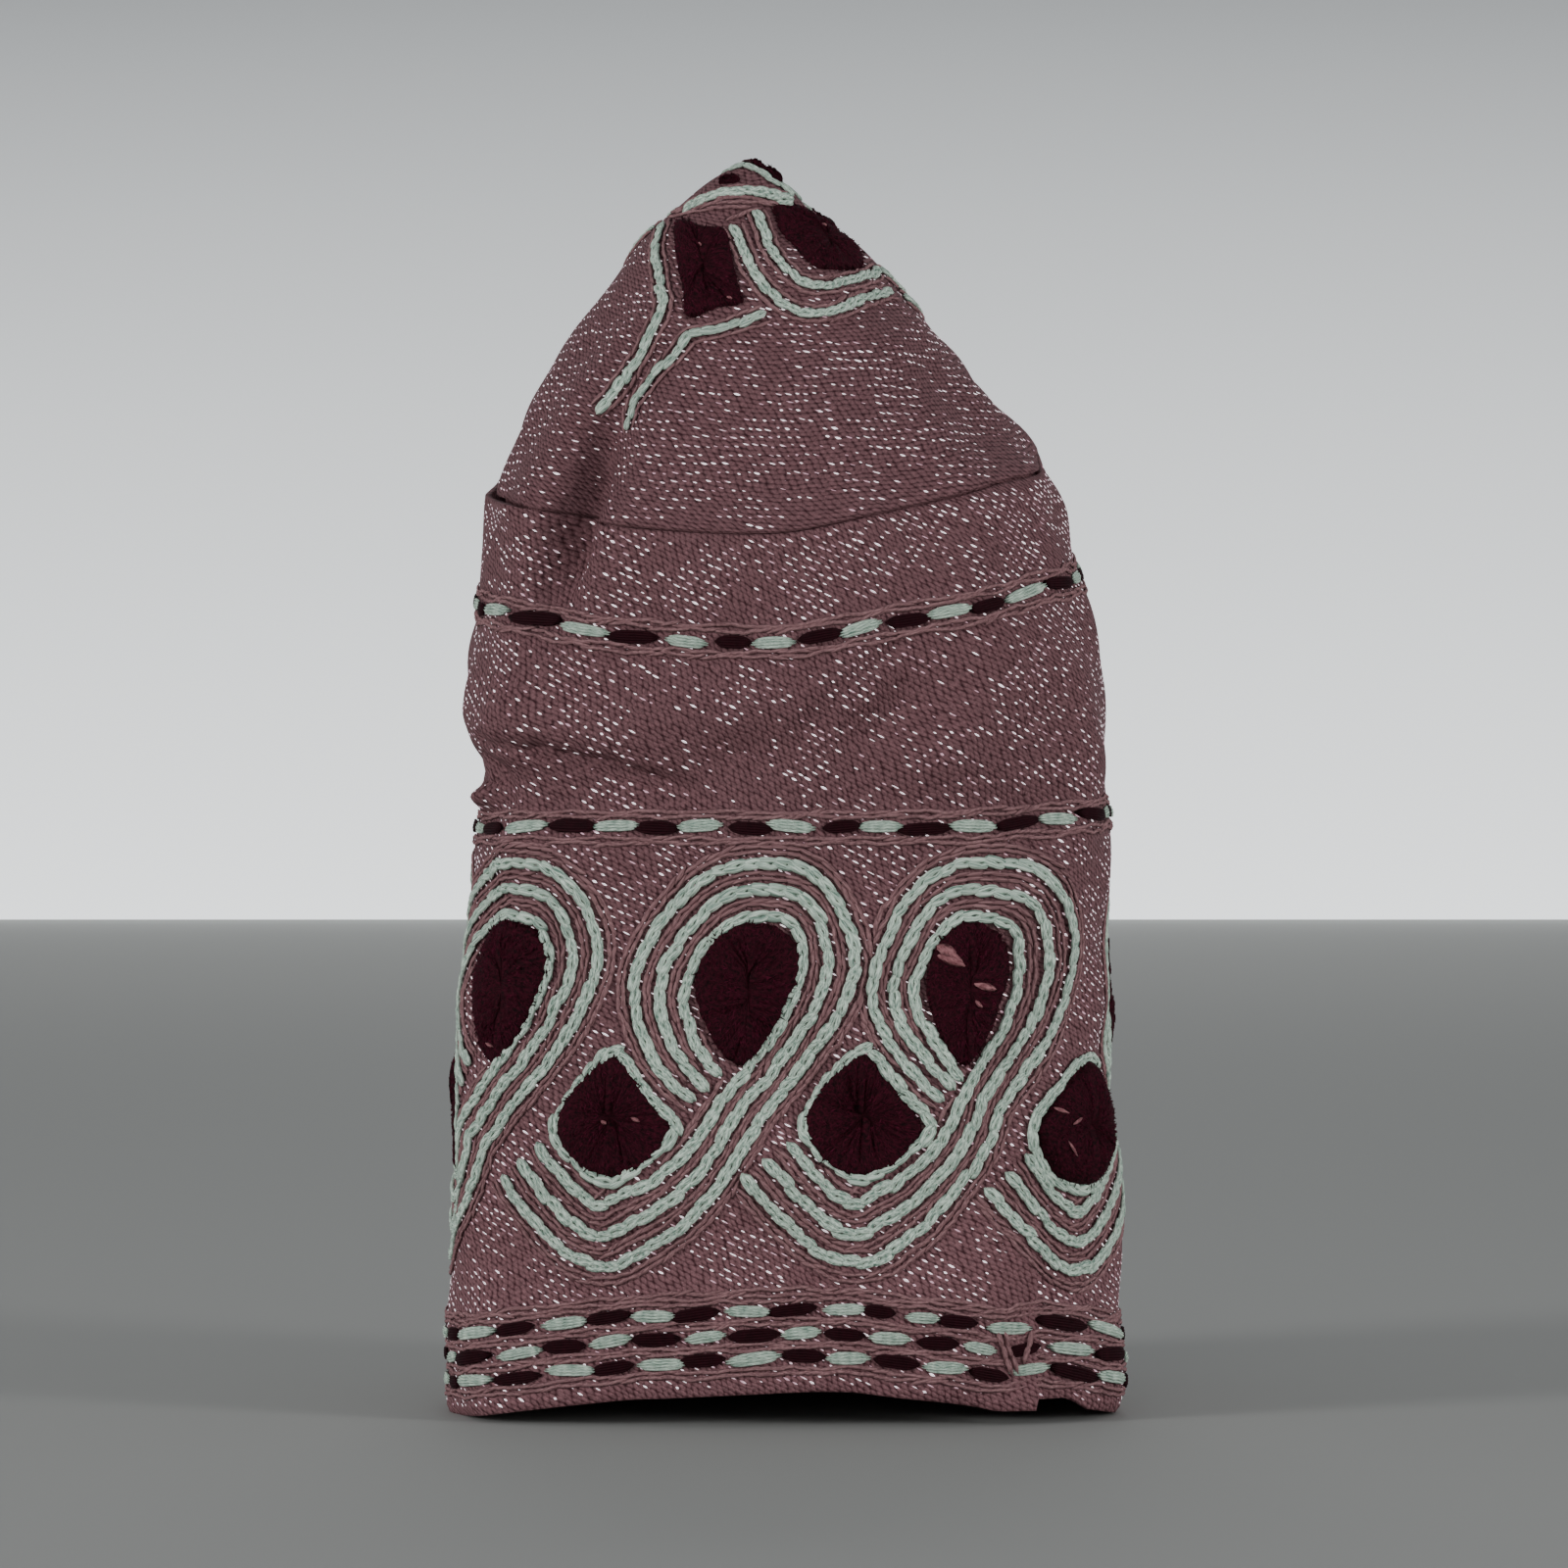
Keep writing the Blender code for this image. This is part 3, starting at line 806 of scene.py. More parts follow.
def layOnWall(flatPath):
    return cloth.pointsAt("outer", angleOf(flatPath[:, 0]), flatPath[:, 1])


def evenPath(hits):
    # Points and normals of a path, from the hits along it that were found
    points, normals = (np.array([hit[k] for hit in hits if hit]) for k in (0, 1))
    kernel = np.array([1, 2, 3, 2, 1]) / 9
    for values in (points, normals):
        for k in range(3):
            padded = np.pad(values[:, k], 2, mode="edge")
            values[2:-2, k] = np.convolve(padded, kernel, mode="valid")[2:-2]
    return points, unit(normals)


def layFromPhoto(corners):
    return evenPath([hitCloth(*photoRay(*spot)) for spot in smoothPath(corners, perLeg=6)])


def besideOnCloth(points, normals, distance):
    # Read from over the cloth, and only where it faces the same way
    above, facing = 0.01, 0.3
    side = unit(np.cross(normals, np.gradient(points, axis=0)))
    hits = []
    for point, normal, across in zip(points, normals, side):
        hit = hitCloth(Vector(point + across * distance + normal * above), Vector(-normal))
        hits.append(hit if hit and hit[1].dot(Vector(normal)) > facing else None)
    return evenPath(hits)


def unit(values):
    return values / np.linalg.norm(values, axis=-1, keepdims=True)


# Marks say where each stitch goes: its middle, the way it runs, the way off the cloth and its size shares
def newMarks():
    return {"point": [], "along": [], "off": [], "size": []}


def addMarks(marks, points, along, off, size=(1, 1, 1)):
    size = np.broadcast_to(np.asarray(size, float), points.shape)
    for key, values in (("point", points), ("along", along), ("off", off), ("size", size)):
        marks[key].append(values)


def joinMarks(marks):
    return {key: np.concatenate(parts) for key, parts in marks.items()}


def trianglesOf(mesh):
    return sum(len(p.vertices) - 2 for p in mesh.polygons)


handRng = np.random.default_rng(17)


def stitchLine(points, normals, pitch, hand=None, slant=0.0):
    # hand holds how far stitches sway off the line, and how many degrees they turn
    lengths = lengthsAlong(points)
    count = max(int(round(lengths[-1] / pitch)), 1)
    at = (np.arange(count) + 0.5) * lengths[-1] / count
    middle = readAlong(points, lengths, at)
    off = unit(readAlong(normals, lengths, at))
    half = lengths[-1] / count / 2
    ahead = readAlong(points, lengths, np.minimum(at + half, lengths[-1]))
    way = unit(ahead - readAlong(points, lengths, np.maximum(at - half, 0)))
    side = np.cross(off, way)
    turned = math.radians(slant)
    if hand:
        middle = middle + side * handRng.normal(0, hand["sway"], (count, 1))
        turned = np.radians(handRng.normal(0, hand["turn"], (count, 1)))
    way = way * np.cos(turned) + side * np.sin(turned)
    return middle, way, off


# One stitch of each kind, as tubes in a box of about 1 x 1 x 1: X along, Z off the cloth
def addTemplate(name, corners, faces, flat):
    return linkNew(name, meshFrom(name, corners, faces, flat))


def tubes(name, paths, sides):
    corners, faces, flat = [], [], []
    shares = [k / sides for k in range(sides + 1)]
    for centres, halfWidths, halfHeights in paths:
        centres = np.asarray(centres, float)
        run = unit(np.gradient(centres, axis=0))
        side = unit(np.cross((0, 0, 1), run))
        up = np.cross(run, side)
        base, last = len(corners), len(centres) - 1
        for i, centre in enumerate(centres):
            for k in range(sides):
                turn = 2 * math.pi * k / sides
                corners.append(centre + side[i] * math.cos(turn) * halfWidths[i]
                               + up[i] * math.sin(turn) * halfHeights[i])
        first = len(corners)
        corners += [centres[0] - run[0] * halfWidths[0] * 0.6, centres[-1] + run[-1] * halfWidths[-1] * 0.6]
        top = base + last * sides
        for k, (low, high) in enumerate(zip(shares, shares[1:])):
            after = (k + 1) % sides
            for i in range(last):
                here, there = base + i * sides, base + (i + 1) * sides
                faces.append((here + k, here + after, there + after, there + k))
                flat += [(i / last, low), (i / last, high), ((i + 1) / last, high), ((i + 1) / last, low)]
            faces += [(base + after, base + k, first), (top + k, top + after, first + 1)]
            flat += [(0, high), (0, low), (0, 0.5), (1, low), (1, high), (1, 0.5)]
    template = addTemplate(name, corners, faces, flat)
    template.data.shade_smooth()
    return template


def chainLink():
    t = np.linspace(0, 1, 6)
    away = np.array([0.04, 0.19, 0.245, 0.20, 0.16, 0.09])
    width = np.array([0.13, 0.235, 0.22, 0.28, 0.29, 0.16])
    paths = []
    for way, raised in ((1, 0.07), (-1, 0.0)):
        x = -0.60 + 1.24 * t + 0.05 * way
        z = 0.22 + 0.36 * np.sin(math.pi * t) ** 0.8 + raised
        paths.append((np.stack([x, way * away, z], 1), width, width * 1.4))
    return tubes("chainLink", paths, 5)


def stemStitch():
    t = np.linspace(0, 1, 4)
    x = -0.66 + 1.32 * t
    y = -0.10 + 0.20 * t
    z = 0.20 + 0.30 * np.sin(math.pi * t)
    width = 0.26 + 0.26 * np.sin(math.pi * t)
    return tubes("stemStitch", [(np.stack([x, y, z], 1), width, width)], 4)


def satinDash(name, count, spread, pinch, ragged, seed):
    rng = np.random.default_rng(seed)
    t = np.linspace(0, 1, 6)
    bow = np.sin(math.pi * t)
    paths = []
    for k in range(count):
        share = (k - (count - 1) / 2) / ((count - 1) / 2)
        back, ahead = (0.5 - ragged * rng.uniform(0, 1) - 0.06 * share**2 for _ in range(2))
        x = np.linspace(-back, ahead, 6)
        y = share * spread * (pinch + (1 - pinch) * np.clip(1.6 * bow, 0, 1))
        z = 0.34 + 0.42 * bow ** 0.5 - 0.16 * share**2 + rng.uniform(-0.06, 0.06)
        width = spread / (count - 1) * (0.85 + 0.40 * np.clip(2 * bow, 0, 1))
        paths.append((np.stack([x, y, z], 1), width, width * 2))
    return tubes(name, paths, 5)


def glintGrain():
    corners = [(-0.5, 0, 0.3), (0.5, 0, 0.3), (0, -0.5, -0.2), (0, 0.5, -0.2)]
    faces = [(0, 2, 1), (1, 3, 0), (0, 3, 2), (1, 2, 3)]
    return addTemplate("glintGrain", corners, faces, [(0, 0), (1, 0), (1, 1)] * 4)


# What the placing tree is given, besides the marks' own attributes
placerInputs = {
    "Places": "Geometry", "Stitch": "Object", "Length": "Float", "Width": "Float", "Height": "Float",
    "Unevenness": "Float", "Seed": "Int", "Thread": "Material",
}


def placingTree():
    tree = bpy.data.node_groups.new("placeStitches", "GeometryNodeTree")
    for name, kind in placerInputs.items():
        tree.interface.new_socket(name=name, in_out="INPUT", socket_type="NodeSocket" + kind)
    tree.interface.new_socket(name="Stitches", in_out="OUTPUT", socket_type="NodeSocketGeometry")
    given = addNode(tree, "NodeGroupInput").outputs
    along, off, size = (
        addNode(tree, "GeometryNodeInputNamedAttribute", {"Name": name}, data_type="FLOAT_VECTOR")
        for name in ("along", "off", "size")
    )
    turn = addNode(tree, "FunctionNodeAxesToRotation", {"Primary Axis": off, "Secondary Axis": along},
                   primary_axis="Z", secondary_axis="X")
    full = addNode(tree, "ShaderNodeCombineXYZ", {
        "X": given["Length"], "Y": given["Width"], "Z": given["Height"],
    })
    chance = addNode(tree, "FunctionNodeRandomValue", {
        "Min_001": addMath(tree, "SUBTRACT", 1, given["Unevenness"]),
        "Max_001": addMath(tree, "ADD", 1, given["Unevenness"]), "Seed": given["Seed"],
    }, data_type="FLOAT")
    scaled = addVectorMath(tree, "SCALE", addVectorMath(tree, "MULTIPLY", full, size),
                           Scale=socketOf(chance.outputs, "Value_001"))
    place = addNode(tree, "GeometryNodeInstanceOnPoints", {
        "Points": given["Places"], "Rotation": turn, "Scale": scaled,
        "Instance": addNode(tree, "GeometryNodeObjectInfo", {"Object": given["Stitch"]}).outputs["Geometry"],
    })
    real = addNode(tree, "GeometryNodeRealizeInstances", {"Geometry": place})
    coloured = addNode(tree, "GeometryNodeSetMaterial", {"Geometry": real, "Material": given["Thread"]})
    addNode(tree, "NodeGroupOutput", {"Stitches": coloured})
    return tree


stitchPlacer = placingTree()
templates = {
    "chainLink": chainLink(),
    "stemStitch": stemStitch(),
    "mintDash": satinDash("mintDash", 4, 0.33, 0.80, 0.09, 5),
    "maroonDash": satinDash("maroonDash", 5, 0.36, 0.58, 0.03, 8),
    "glintGrain": glintGrain(),
}


def bendRound(mesh):
    # Stitches planted on the flat cloth, X round the cap and Y up, are laid on the real one
    corners = np.array([v.co for v in mesh.vertices])
    points, normals = cloth.pointsAt("outer", angleOf(corners[:, 0]), corners[:, 1])
    mesh.vertices.foreach_set("co", (points + normals * corners[:, 2:]).astype(np.float32).ravel())
    mesh.update()


def plant(name, marks, template, settings, material, flat=False):
    joined = joinMarks(marks)
    mesh = bpy.data.meshes.new(name)
    mesh.from_pydata(joined["point"].tolist(), [], [])
    shown = ("along", "off", "size")
    for key in shown:
        layer = mesh.attributes.new(key, "FLOAT_VECTOR", "POINT")
        layer.data.foreach_set("vector", joined[key].astype(np.float32).ravel())
    piece = linkNew(name, mesh)
    modifier = piece.modifiers.new("stitches", "NODES")
    modifier.node_group = stitchPlacer
    values = dict(settings, Stitch=templates[template], Thread=materials[material])
    for item in stitchPlacer.interface.items_tree:
        if item.in_out == "INPUT" and item.name in values:
            modifier[item.identifier] = values[item.name]
    graph = bpy.context.evaluated_depsgraph_get()
    made = bpy.data.meshes.new_from_object(piece.evaluated_get(graph), depsgraph=graph)
    piece.modifiers.remove(modifier)
    piece.data = made
    for key in shown:
        if key in made.attributes:
            made.attributes.remove(made.attributes[key])
    if flat:
        bendRound(made)
    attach(piece, "root")
    print(name, len(joined["point"]), "stitches", trianglesOf(made), "triangles")


# Marks of every kind are gathered first and planted together
mintMarks, mauveMarks, rowMarks = newMarks(), newMarks(), newMarks()
mintDashes, maroonDashes = newMarks(), newMarks()
chainSize = {"pitch": 0.0041, "width": 0.0034, "height": 0.0015, "sway": 0.00020, "turn": 7}
stemSize = {"pitch": 0.0034, "width": 0.00125, "height": 0.0009, "sway": 0.00014, "turn": 6}

# Outlines of the padded flowers, as shares of half the width and half the length
padOutlines = {
    "teardrop": (
        (0.10, 1.00), (0.62, 0.88), (0.95, 0.62), (0.98, 0.24), (0.76, -0.10), (0.50, -0.52),
        (0.10, -0.90), (-0.16, -1.00), (-0.45, -0.87), (-0.80, -0.46), (-0.97, -0.06), (-0.97, 0.32),
        (-0.74, 0.70), (-0.34, 0.94),
    ),
    "lozenge": (
        (0.02, 1.00), (0.34, 0.70), (0.68, 0.26), (1.00, -0.16), (0.84, -0.54), (0.48, -0.87),
        (-0.04, -1.00), (-0.52, -0.88), (-0.84, -0.56), (-1.00, -0.14), (-0.84, 0.30), (-0.34, 0.82),
    ),
    "fullLozenge": (
        (0.34, 1.00), (0.66, 0.86), (0.90, 0.50), (1.00, 0.02), (0.90, -0.50), (0.55, -0.88),
        (0.00, -1.00), (-0.52, -0.86), (-0.86, -0.50), (-1.00, -0.08), (-0.72, 0.40), (-0.16, 0.86),
    ),
    "patch": (
        (-0.88, 0.97), (-0.30, 0.93), (0.48, 0.74), (0.62, 0.34), (0.84, -0.16), (1.00, -0.66),
        (0.60, -0.82), (0.00, -0.94), (-0.62, -1.00), (-0.82, -0.60), (-0.97, 0.00), (-0.97, 0.60),
    ),
    "oval": (
        (0.00, 1.00), (0.52, 0.84), (0.88, 0.46), (1.00, 0.00), (0.88, -0.46), (0.52, -0.84),
        (0.00, -1.00), (-0.52, -0.84), (-0.88, -0.46), (-1.00, 0.00), (-0.88, 0.46), (-0.52, 0.84),
    ),
}
# Outline and lean in degrees, where they aren't the ones of the name
padKinds = {
    "lozenge_pad_4": ("fullLozenge", 0),
    "crown_pad_1": ("patch", 0), "crown_pad_2": ("oval", 30), "crown_pad_3": ("oval", 0),
    "crown_pad_4": ("patch", 0), "crown_pad_5": ("oval", 0),
}
# One lozenge lies lower and is fuller than the others
fullPad = {"name": "lozenge_pad_4", "lower": 0.0020, "fuller": 1.9, "lineGap": 0.0012}
# Outlines that the photo shows better than the frame has them, in its pixels
padPixels = {
    "crown_pad_1": (
        (690, 227), (714, 231), (741, 236), (747, 262), (753, 288), (758, 309), (731, 315), (702, 325),
        (697, 296), (690, 262),
    ),
    "crown_pad_2": (
        (789, 212), (804, 211), (820, 213), (844, 226), (865, 244), (880, 264), (875, 276), (844, 276),
        (824, 268), (808, 250), (793, 230),
    ),
    "tipPad": (
        (766, 164), (775, 164), (784, 169), (792, 177), (797, 185), (790, 183), (780, 177), (771, 170),
    ),
    "tipPatch": ((734, 188), (740, 183), (749, 180), (755, 183), (750, 187)),
}


def waysOn(normal):
    across = Vector((0, 0, 1)).cross(normal).normalized()
    return across, normal.cross(across)


def padFromPhoto(name, kind):
    hits = [hit for hit in (hitCloth(*photoRay(*spot)) for spot in padPixels[name]) if hit]
    points = np.array([hit[0] for hit in hits])
    normal = Vector(np.mean([hit[1] for hit in hits], axis=0)).normalized()
    centre = Vector((points.min(axis=0) + points.max(axis=0)) / 2)
    across, up = waysOn(normal)
    spots = np.stack([(points - centre) @ np.array(across), (points - centre) @ np.array(up)], 1)
    middle = (spots.min(axis=0) + spots.max(axis=0)) / 2
    spots, half = spots - middle, (spots.max(axis=0) - spots.min(axis=0)) / 2
    return {
        "kind": kind, "centre": centre + across * middle[0] + up * middle[1], "across": across, "up": up,
        "off": normal, "halfWidth": half[0], "halfLength": half[1], "outline": spots[::-1] / half,
    }


def padPlace(name):
    # The middle, the ways across, up and off the cloth, and half the width and length of a frame's pad
    kind, lean = padKinds.get(name, (name.split("_")[0], 0))
    if name in padPixels:
        return padFromPhoto(name, kind)
    node = frame["nodes"][name]
    corners = np.array([node.matrix_world @ v.co for v in node.data.vertices])
    low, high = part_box(name)
    middle = (np.array(low) + np.array(high)) / 2
    x, y = cloth.axisAt(middle[2])
    out = Vector((middle[0] - x, middle[1] - y, 0)).normalized()
    point, normal = hitCloth(Vector(middle) + out * 0.03, -out)
    across, up = waysOn(normal)
    sine, cosine = math.sin(math.radians(lean)), math.cos(math.radians(lean))
    across, up = across * cosine - up * sine, up * cosine + across * sine
    rights, tops = ((corners - np.array(point)) @ np.array(way) for way in (across, up))
    centre = point + across * ((rights.min() + rights.max()) / 2) + up * ((tops.min() + tops.max()) / 2)
    return {
        "kind": kind, "centre": centre, "across": across, "up": up, "off": normal,
        "halfWidth": (rights.max() - rights.min()) / 2, "halfLength": (tops.max() - tops.min()) / 2,
        "outline": np.array(padOutlines[kind]),
    }


padNames = [name for name in frame["nodes"] if "_pad_" in name]
padPlaces = {name: padPlace(name) for name in padNames}
padPlaces[fullPad["name"]]["centre"].z -= fullPad["lower"]


def flatPlace(pad):
    # A pad's middle as a length round the cap and a height
    x, y = cloth.axisAt(pad["centre"].z)
    return np.array([lengthOf(math.atan2(pad["centre"].y - y, pad["centre"].x - x)), pad["centre"].z])


# The band: one unit's middle line in mm, first from its lozenge's middle, then from its teardrop's
lineFromLozenge = (
    (-24.7, -11.6), (-19.2, -18.5), (-12.8, -24.9), (-6.7, -28.9), (-1.0, -29.9), (5.9, -26.6),
    (13.6, -22.2), (21.0, -15.3),
)
lineFromTeardrop = (
    (-6.4, -35.8), (-1.2, -27.6), (5.4, -20.0), (11.8, -11.6), (16.8, -3.9), (19.7, 2.7), (20.7, 8.9),
    (19.7, 15.0), (17.0, 20.5), (12.3, 24.4), (5.4, 25.9), (-2.2, 25.4), (-9.4, 22.0), (-15.5, 16.3),
    (-19.7, 10.1), (-22.2, 4.4), (-22.9, -1.2), (-21.5, -7.6), (-18.7, -14.3), (-14.6, -20.0),
    (-10.6, -23.7),
)
lozengeLine = (
    (-2.4, 15.3), (2.0, 15.3), (8.3, 6.3), (15.5, -2.8), (9.2, -10.6), (0, -16.5), (-8.5, -12.5),
    (-15.5, -4.0), (-9.6, 6.6),
)
bandLook = {
    "unitStep": np.array((0.0341, 0.0299)),     # from the lozenge's middle to the teardrop's
    "spacing": 0.0067,
    "teardropHalf": 0.0136,     # half sizes of the pads that the lines above belong to
    "lozengeHalf": (0.0147, 0.0154),
    "clear": 0.0028,            # stitches of two lines keep this far apart
    "step": 0.0008,
    "shortest": 0.012,
    "mauveShares": (0.41, 0.60, -0.41, -0.60, 1.42, 1.60, -1.42, -1.62),    # of the spacing
    "mauveClear": 0.0020,
    "mauveApart": 0.0010,
}
# The lines close up on the diagonal and spread at the bottom: middles and widths as shares of the path
lineSpacing = {"diagonal": (0.33, 0.11, -0.22), "bottom": (0.15, 0.07, 0.12), "end": (1.0, 0.10, -0.30)}
# Wider loops, with shares to the left and right of the teardrop, and how far a loop's end lies further round
unitStretch = {1: (1.45, 1.0), 3: (1.0, 1.22)}
unitTail = {3: 0.0030}
narrowing = {"least": 0.30, "at": 0.60, "over": 0.15}       # beside narrower teardrops
widening = {"right": (0.8, 0.52, 0.14), "left": (0.6, 0.72, 0.1)}       # beside wider loops


def nearRound(flat, others):
    # Distance from flat places to others, the short way round the cap
    if not len(others):
        return np.full(len(flat), 1.0)
    gap = flat[:, None] - others[None]
    gap[..., 0] = (gap[..., 0] + girth / 2) % girth - girth / 2
    return np.linalg.norm(gap, axis=2).min(axis=1)


def thin(path):
    lengths = lengthsAlong(path)
    return readAlong(path, lengths, np.arange(0, lengths[-1] + bandLook["step"] / 2, bandLook["step"]))


def freeRuns(path, taken, clear):
    # The stretches of a path that keep clear of what is there
    free = nearRound(path, taken) > clear
    runs, start = [], None
    for k, good in enumerate(np.append(free, False)):
        if good and start is None:
            start = k
        elif not good and start is not None:
            if k - start > 8:
                runs.append(path[start:k])
            start = None
    return runs


def padOutlineFlat(name):
    pad = padPlaces[name]
    outline = smoothPath(pad["outline"], closed=True, perLeg=3)
    return flatPlace(pad) + outline * (pad["halfWidth"], pad["halfLength"])


def swell(at, centre, width):
    return np.exp(-(((at - centre) / width) ** 2))


def bandUnit(number):
    # A unit's middle line, the spacing of the lines along it and the line round its lozenge
    pad, drop = padPlaces[f"lozenge_pad_{number}"], padPlaces[f"teardrop_pad_{number}"]
    lozenge, teardrop = flatPlace(pad), flatPlace(drop)
    lozenge[0] = teardrop[0] + (lozenge[0] - teardrop[0] + girth / 2) % girth - girth / 2
    narrow = min(drop["halfWidth"] / bandLook["teardropHalf"], 1)
    narrow = narrowing["least"] + (1 - narrowing["least"]) * narrow
    line = np.array(lineFromTeardrop) * (narrow, 1) / 1000
    leftStretch, rightStretch = unitStretch.get(number, (1, 1))
    line[:, 0] *= np.where(line[:, 0] < 0, leftStretch, rightStretch)
    tail = unitTail.get(number, 0) * smoothStep((-0.001 - line[:, 1]) / 0.020)
    line[:, 0] += tail * (np.arange(len(line)) > 10)
    line += bandLook["unitStep"]
    corners = np.concatenate([np.array(lineFromLozenge) / 1000, line])
    share = smoothStep((np.arange(len(corners)) - 3) / 11)[:, None]
    middle = smoothPath(lozenge + corners + share * (teardrop - lozenge - bandLook["unitStep"]))
    at = np.linspace(0, 1, len(middle))
    narrowed = (1 - narrow) * smoothStep((at - narrowing["at"]) / narrowing["over"])
    spacing = np.full(len(middle), bandLook["spacing"]) * (1 - narrowed)
    for centre, width, change in lineSpacing.values():
        spacing *= 1 + change * swell(at, centre, width)
    share, centre, width = widening["right"]
    spacing *= 1 + (rightStretch - 1) * share * swell(at, centre, width)
    share, start, width = widening["left"]
    spacing *= 1 + (leftStretch - 1) * share * smoothStep((at - start) / width)
    half = np.array((pad["halfWidth"], pad["halfLength"]))
    outline = np.array(lozengeLine) * (half / bandLook["lozengeHalf"]) / 1000
    if pad["kind"] == "fullLozenge":
        outline = pad["outline"] * (half + fullPad["lineGap"])
    return {"middle": middle, "spacing": spacing, "outline": lozenge + outline}


bandUnits = [bandUnit(number) for number in range(1, 10)]
padEdges = np.concatenate([padOutlineFlat(name) for name in padNames if not name.startswith("crown")])
mintFlat = np.zeros((0, 2))
for band in bandUnits:
    paths = [band["middle"]] + [offsetPath(band["middle"], side * band["spacing"]) for side in (1, -1)]
    paths.append(smoothPath(band["outline"], closed=True))
    fresh = []
    for path in paths:
        for run in freeRuns(thin(path), mintFlat, bandLook["clear"]):
            if len(run) * bandLook["step"] > bandLook["shortest"]:
                addMarks(mintMarks, *stitchLine(*layOnWall(run), chainSize["pitch"], chainSize))
                fresh.append(run)
    mintFlat = np.concatenate([mintFlat] + fresh)

mauveFlat = np.zeros((0, 2))
taken = np.concatenate([mintFlat, padEdges])
for band in bandUnits:
    fresh = []
    for share in bandLook["mauveShares"]:
        path = thin(offsetPath(band["middle"], share * band["spacing"]))
        for run in freeRuns(path, taken, bandLook["mauveClear"]):
            for part in freeRuns(run, mauveFlat, bandLook["mauveApart"]):
                addMarks(mauveMarks, *stitchLine(*layOnWall(part), stemSize["pitch"], stemSize))
                fresh.append(part)
    mauveFlat = np.concatenate([mauveFlat] + fresh)
print("band drawn")


# Rows of dashes between fine threads: the edge that a row follows and its height over it, the first colour,
# the threads' heights over the row, and the dashes that the photo shows, as spans of its columns
dashRows = {
    "seamRow": {
        "edge": "seam", "over": -0.0273, "first": "mint", "threads": (0.0027, 0.0039, -0.0027, -0.0039),
        "spans": (
            (480, 518), (523, 571), (574, 620), (621, 670), (684, 722), (735, 768), (772, 812), (819, 862),
            (859, 900), (906, 947), (947, 990), (990, 1023), (1024, 1066), (1066, 1112),
        )},
    "waistRow": {
        "edge": "floor", "over": 0.1504, "first": "maroon", "threads": (0.0027, 0.0039, -0.0027, -0.0039),
        "spans": (
            (478, 513), (519, 556), (562, 607), (607, 650), (650, 691), (696, 737), (746, 786), (787, 831),
            (844, 880), (880, 922), (918, 969), (970, 1014), (1016, 1058), (1060, 1095), (1100, 1140),
        )},
    "rimRowHigh": {
        "edge": "rim", "over": 0.0208, "first": "mint", "threads": (0.0025, 0.0038, 0.0050),
        "spans": (
            (456, 506), (507, 544), (555, 598), (600, 643), (646, 687), (689, 735), (745, 787), (787, 834),
            (845, 885), (885, 915), (925, 957), (958, 995), (1008, 1050), (1057, 1106), (1110, 1145),
        )},
    "rimRowMiddle": {
        "edge": "rim", "over": 0.0149, "first": "maroon", "threads": (0.0024, 0.0036, -0.0025, -0.0037),
        "spans": (
            (454, 501), (509, 552), (556, 596), (603, 643), (650, 695), (704, 741), (749, 796), (802, 838),
            (846, 884), (892, 930), (938, 976), (984, 1014), (1030, 1062), (1070, 1113), (1117, 1145),
        )},
    "rimRowLow": {
        "edge": "rim", "over": 0.0088, "first": "mint", "threads": (-0.0026, -0.0039),
        "spans": (
            (454, 502), (505, 551), (559, 606), (606, 645), (653, 698), (699, 741), (747, 796), (800, 840),
            (848, 888), (894, 936), (944, 984), (990, 1026), (1031, 1068), (1071, 1118), (1119, 1145),
        )},
}
rowLook = {
    "dashLength": 0.010,
    "dashHeight": 0.0035,
    "dashRise": 0.0014,
    "longest": 0.0170,
    "roundCount": 52,
    "pitch": 0.0034,
    "width": 0.0013,
    "waistRise": 0.0040,    # the row at the waist is higher on the cap's right side
    "riseAt": (0.06, 0.145), "fallAt": (0.5, 0.22),     # shares of the way round: start and width
    "gap": 0.08, "start": (0, 0.06), "end": (0.88, 0.98),   # of a step, for dashes that the photo hides
    "pathStep": 0.0015, "drift": 0.0003, "driftLength": 0.021,
    "threadSize": (1.1, 0.95, 0.9),
}
dashSize = {"mint": (0.95, 0.94), "maroon": (0.98, 1.0)}
dashMarks = {"mint": mintDashes, "maroon": maroonDashes}


def rowHeight(row, at):
    if row["edge"] == "rim":
        return cloth.edgeAt(cloth.bottom, angleOf(at)) + row["over"]
    if row["edge"] == "seam":
        return seamHeight(angleOf(at)) + row["over"]
    share = at / girth % 1
    steps = (rowLook["riseAt"], rowLook["fallAt"])
    rise, fall = (smoothStep((share - start) / width) for start, width in steps)
    return row["over"] + rowLook["waistRise"] * (rise * (1 - fall))


def lengthsAtPixels(flatPath, columns):
    # Where along a row the photo's columns fall
    points, normals = layOnWall(flatPath)
    eye = np.array(cameraPlace["eye"])
    seen = ((points - eye) * normals).sum(axis=1) < 0
    x = photoMiddle + photoFocal * (points[:, 0] - eye[0]) / (points[:, 1] - eye[1])
    order = np.argsort(x[seen])
    return np.interp(columns, x[seen][order], flatPath[seen, 0][order])


def rowPath(row, low, high, shift=0.0):
    at = np.arange(low, high, rowLook["pathStep"])
    drift = rowLook["drift"] * np.sin(at * 2 * math.pi / rowLook["driftLength"] + shift * 9000) * (shift != 0)
    return np.stack([at, rowHeight(row, at) + shift + drift], 1)


